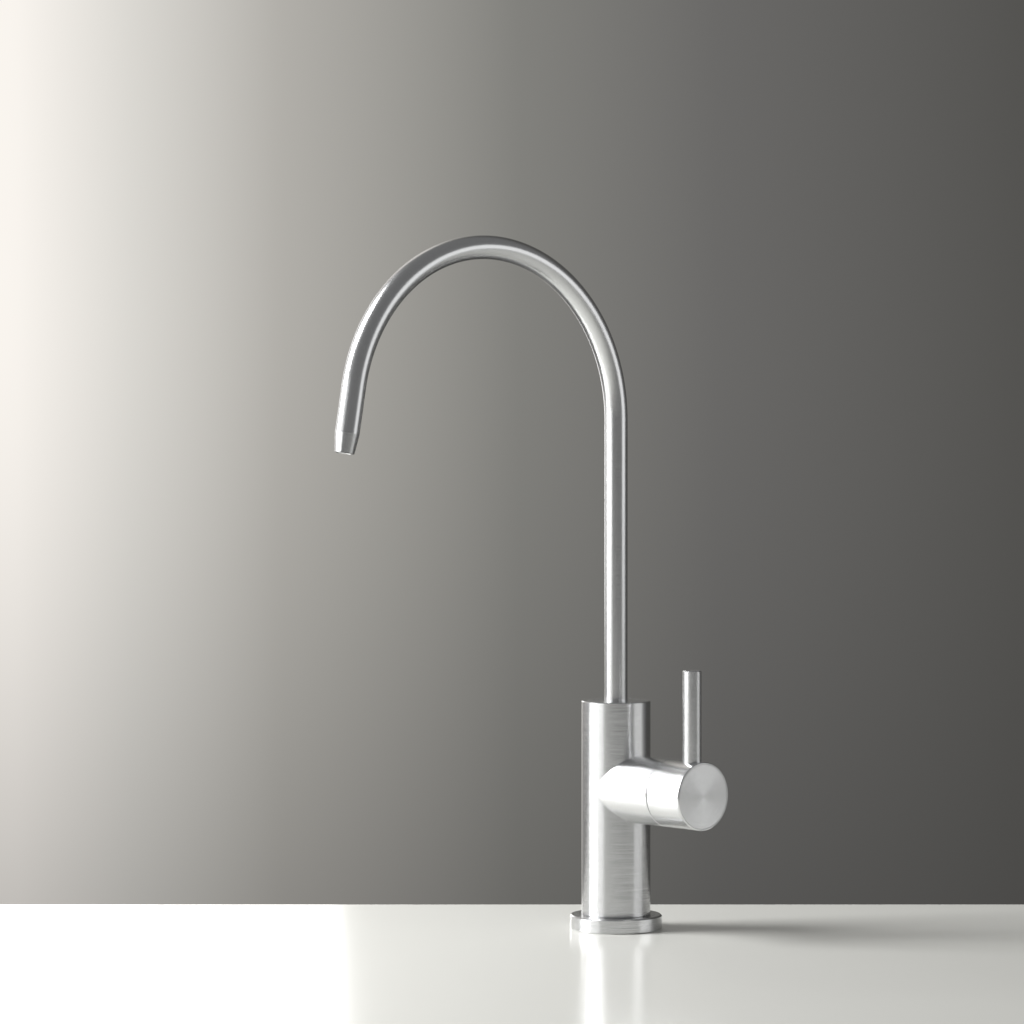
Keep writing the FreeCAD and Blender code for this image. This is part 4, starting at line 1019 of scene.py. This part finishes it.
class FAUCET_OT_studio(bpy.types.Operator):
    """Set the camera, floor, backdrop and soft lights"""

    bl_idname = "faucet.studio"
    bl_label = "Studio"

    # Degrees to the right of the camera and upwards from the hub, then width and height in metres
    SOFTBOXES = {
        "key": (-89, 35, 0.51, 1.01),
        "low": (-84, 7.5, 0.56, 0.34),
        "front": (-57, 11, 0.57, 0.40),
        "right": (79, 14, 0.79, 0.60),
        "side": (-118, 9, 0.70, 0.40),
        "rear": (-160, 11, 0.52, 0.46),
    }
    # How far they hang from the hub
    SOFTBOX_AWAY = 1.25
    # What the camera sees, near and far
    CLIP = (0.01, 50.0)
    # Width and depth of the floor, and how far it lies below the deck seal
    FLOOR, FLOOR_BELOW = (8.0, 3.0), 0.00002
    # Width and height of the wall, its distance and its top's height
    WALL, WALL_AWAY, WALL_TOP = (10.0, 5.0), 2.2, 3.2
    # Across this span the wall's painted light runs from bright to dark, and over this height its painted
    # shade at the foot lifts, from this share
    WALL_SPAN, WALL_RISE, WALL_FOOT = (-2.2, 0.5), (-0.8, 0.4), 0.22

    def execute(self, context):
        studio = context.scene.faucet_studio
        context.scene.view_settings.view_transform = "Standard"
        self.place_camera(context.scene, studio)
        self.lay_floor(studio)
        self.hang_backdrop(studio)
        self.set_surround(context.scene, studio)
        for name, (aside, up, width, height) in self.SOFTBOXES.items():
            self.hang_softbox(name, studio, self.direction(studio, aside, up), width, height)
        return {"FINISHED"}

    def direction(self, studio, aside, up):
        """A heading seen from the faucet, in degrees to the right of the camera and upwards."""
        angle = studio.heading + math.radians(aside)
        level = math.cos(math.radians(up))
        return Vector((math.sin(angle) * level, -math.cos(angle) * level, math.sin(math.radians(up))))

    def rightwards(self, studio):
        """The camera's right, level with the floor."""
        return Vector((math.cos(studio.heading), math.sin(studio.heading), 0))

    def place_camera(self, scene, studio):
        """The camera that takes the photo's view."""
        lens = bpy.data.cameras.new("view")
        lens.lens = studio.lens
        lens.clip_start, lens.clip_end = self.CLIP
        camera = bpy.data.objects.new("view", lens)
        scene.collection.objects.link(camera)
        place = self.direction(studio, 0, 0) * studio.distance - self.rightwards(studio) * studio.offset
        camera.location = (place.x, place.y, studio.height)
        camera.rotation_euler = (math.pi / 2 - studio.tilt, 0, studio.heading)
        scene.camera = camera

    def slab(self, studio, name, width, depth, place):
        """A flat rectangle, placed by the middle of its far edge as the camera sees it."""
        bm = bmesh.new()
        bmesh.ops.create_grid(bm, x_segments=1, y_segments=1, size=0.5)
        bmesh.ops.scale(bm, vec=(width, depth, 1), verts=bm.verts)
        bmesh.ops.translate(bm, vec=(0, -depth / 2, 0), verts=bm.verts)
        to_view = Matrix.Rotation(studio.heading, 4, "Z")
        bmesh.ops.transform(bm, matrix=to_view @ place, verts=bm.verts)
        return as_piece(bm, name)

    def lay_floor(self, studio):
        """A pale, slightly glossy floor that ends behind the faucet."""
        place = Matrix.Translation((0, studio.floor_back, -self.FLOOR_BELOW))
        floor = self.slab(studio, "floor", *self.FLOOR, place)
        shader = Shader("pale_floor")
        cloud = shader.noise(shader.place(), scale=3.0, detail=3.0)
        lighter, roughness, unevenness = shaded(studio.floor, 1.02), 0.16, 0.04
        shader.set(
            Base_Color=shader.blend(cloud, studio.floor, lighter),
            Roughness=(cloud - 0.5) * unevenness + roughness,
        )
        floor.data.materials.append(shader.material)

    def hang_backdrop(self, studio):
        """A wall far behind that glows with painted light, bright at the left, so that it fades from white
        to dark grey.
        """
        upright = Matrix.Rotation(math.pi / 2, 4, "X")
        place = Matrix.Translation((0, self.WALL_AWAY, self.WALL_TOP)) @ upright
        wall = self.slab(studio, "backdrop", *self.WALL, place)
        shader = Shader("backdrop")
        across = shader.vector("DOT_PRODUCT", shader.place(), self.rightwards(studio), output="Value")
        up = shader.parts(shader.place())[2]
        span = {"Value": across, "From Min": self.WALL_SPAN[0], "From Max": self.WALL_SPAN[1]}
        along = shader.node("ShaderNodeMapRange", {"clamp": True}, span)
        # places along the span, from the left, and the colours of the painted light there
        painted_light = shader.node("ShaderNodeValToRGB", {"stops": (
            (0.0, (0.50, 0.48, 0.46)),
            (0.37, (0.60, 0.58, 0.55)),
            (0.55, studio.backdrop_bright),
            (0.60, (0.95, 0.91, 0.86)),
            (0.645, (0.71, 0.69, 0.65)),
            (0.705, (0.445, 0.43, 0.40)),
            (0.80, (0.223, 0.220, 0.205)),
            (0.88, (0.144, 0.141, 0.136)),
            (1.0, studio.backdrop_dark),
        )}, {"Fac": along}, "Color")
        # painted shade: the wall's glow darkens towards its foot
        rise = {
            "Value": up, "From Min": self.WALL_RISE[0], "From Max": self.WALL_RISE[1],
            "To Min": self.WALL_FOOT, "To Max": 1.0,
        }
        lit = shader.node("ShaderNodeMapRange", {"interpolation_type": "SMOOTHSTEP"}, rise)
        # the wall is black and only glows, with the painted light and shade
        shader.set(Base_Color=(0, 0, 0, 1), Roughness=1.0, Specular_IOR_Level=0.0)
        shader.set(Emission_Color=shader.blend(lit, studio.backdrop_low, painted_light), Emission_Strength=1.0)
        wall.data.materials.append(shader.material)

    def set_surround(self, scene, studio):
        """A dim grey room."""
        world = bpy.data.worlds.new("surround")
        world.use_nodes = True
        world.node_tree.nodes["Background"].inputs["Color"].default_value = (*[studio.surround] * 3, 1.0)
        scene.world = world

    def hang_softbox(self, name, studio, towards, width, height):
        """A rectangular soft light that faces the faucet, with the brightness of its own setting."""
        lamp = bpy.data.lights.new(name + "_softbox", "AREA")
        lamp.shape = "RECTANGLE"
        lamp.size, lamp.size_y = width, height
        lamp.energy = getattr(studio, name) * math.pi * width * height
        light = bpy.data.objects.new(lamp.name, lamp)
        bpy.context.scene.collection.objects.link(light)
        light.location = towards * self.SOFTBOX_AWAY + Vector((0, 0, HUB_HEIGHT))
        light.rotation_mode = "QUATERNION"
        light.rotation_quaternion = towards.to_track_quat("Z", "Y")
        light.visible_camera = False


STEPS = (
    FAUCET_OT_base_flange,
    FAUCET_OT_body,
    FAUCET_OT_cover_ring,
    FAUCET_OT_mounting,
    FAUCET_OT_spout_tube,
    FAUCET_OT_spout_tip,
    FAUCET_OT_handle_barrel,
    FAUCET_OT_lever,
    FAUCET_OT_end_cap,
    FAUCET_OT_inner_pieces,
    FAUCET_OT_studio,
)


class FAUCET_PT_pieces(bpy.types.Panel):
    """Sidebar panel that lists the faucet's pieces and the studio"""

    bl_idname = "FAUCET_PT_pieces"
    bl_label = "Drinking water faucet"
    bl_space_type = "VIEW_3D"
    bl_region_type = "UI"
    bl_category = "Faucet"

    def draw(self, context):
        for step in STEPS:
            self.layout.operator(step.bl_idname)
        for group in GROUPS:
            box = self.layout.box()
            settings = getattr(context.scene, group)
            for name in settings.__annotations__:
                box.prop(settings, name)


GROUPS = {"faucet_sizes": FaucetSizes, "faucet_finish": FaucetFinish, "faucet_studio": FaucetStudio}
CLASSES = (*GROUPS.values(), *STEPS, FAUCET_PT_pieces)


def register():
    for made in CLASSES:
        bpy.utils.register_class(made)
    for name, group in GROUPS.items():
        setattr(bpy.types.Scene, name, PointerProperty(type=group))


def unregister():
    for name in GROUPS:
        delattr(bpy.types.Scene, name)
    for made in reversed(CLASSES):
        bpy.utils.unregister_class(made)


def main():
    register()
    for step in STEPS:
        group, name = step.bl_idname.split(".")
        getattr(getattr(bpy.ops, group), name)()


if __name__ == "__main__":
    main()
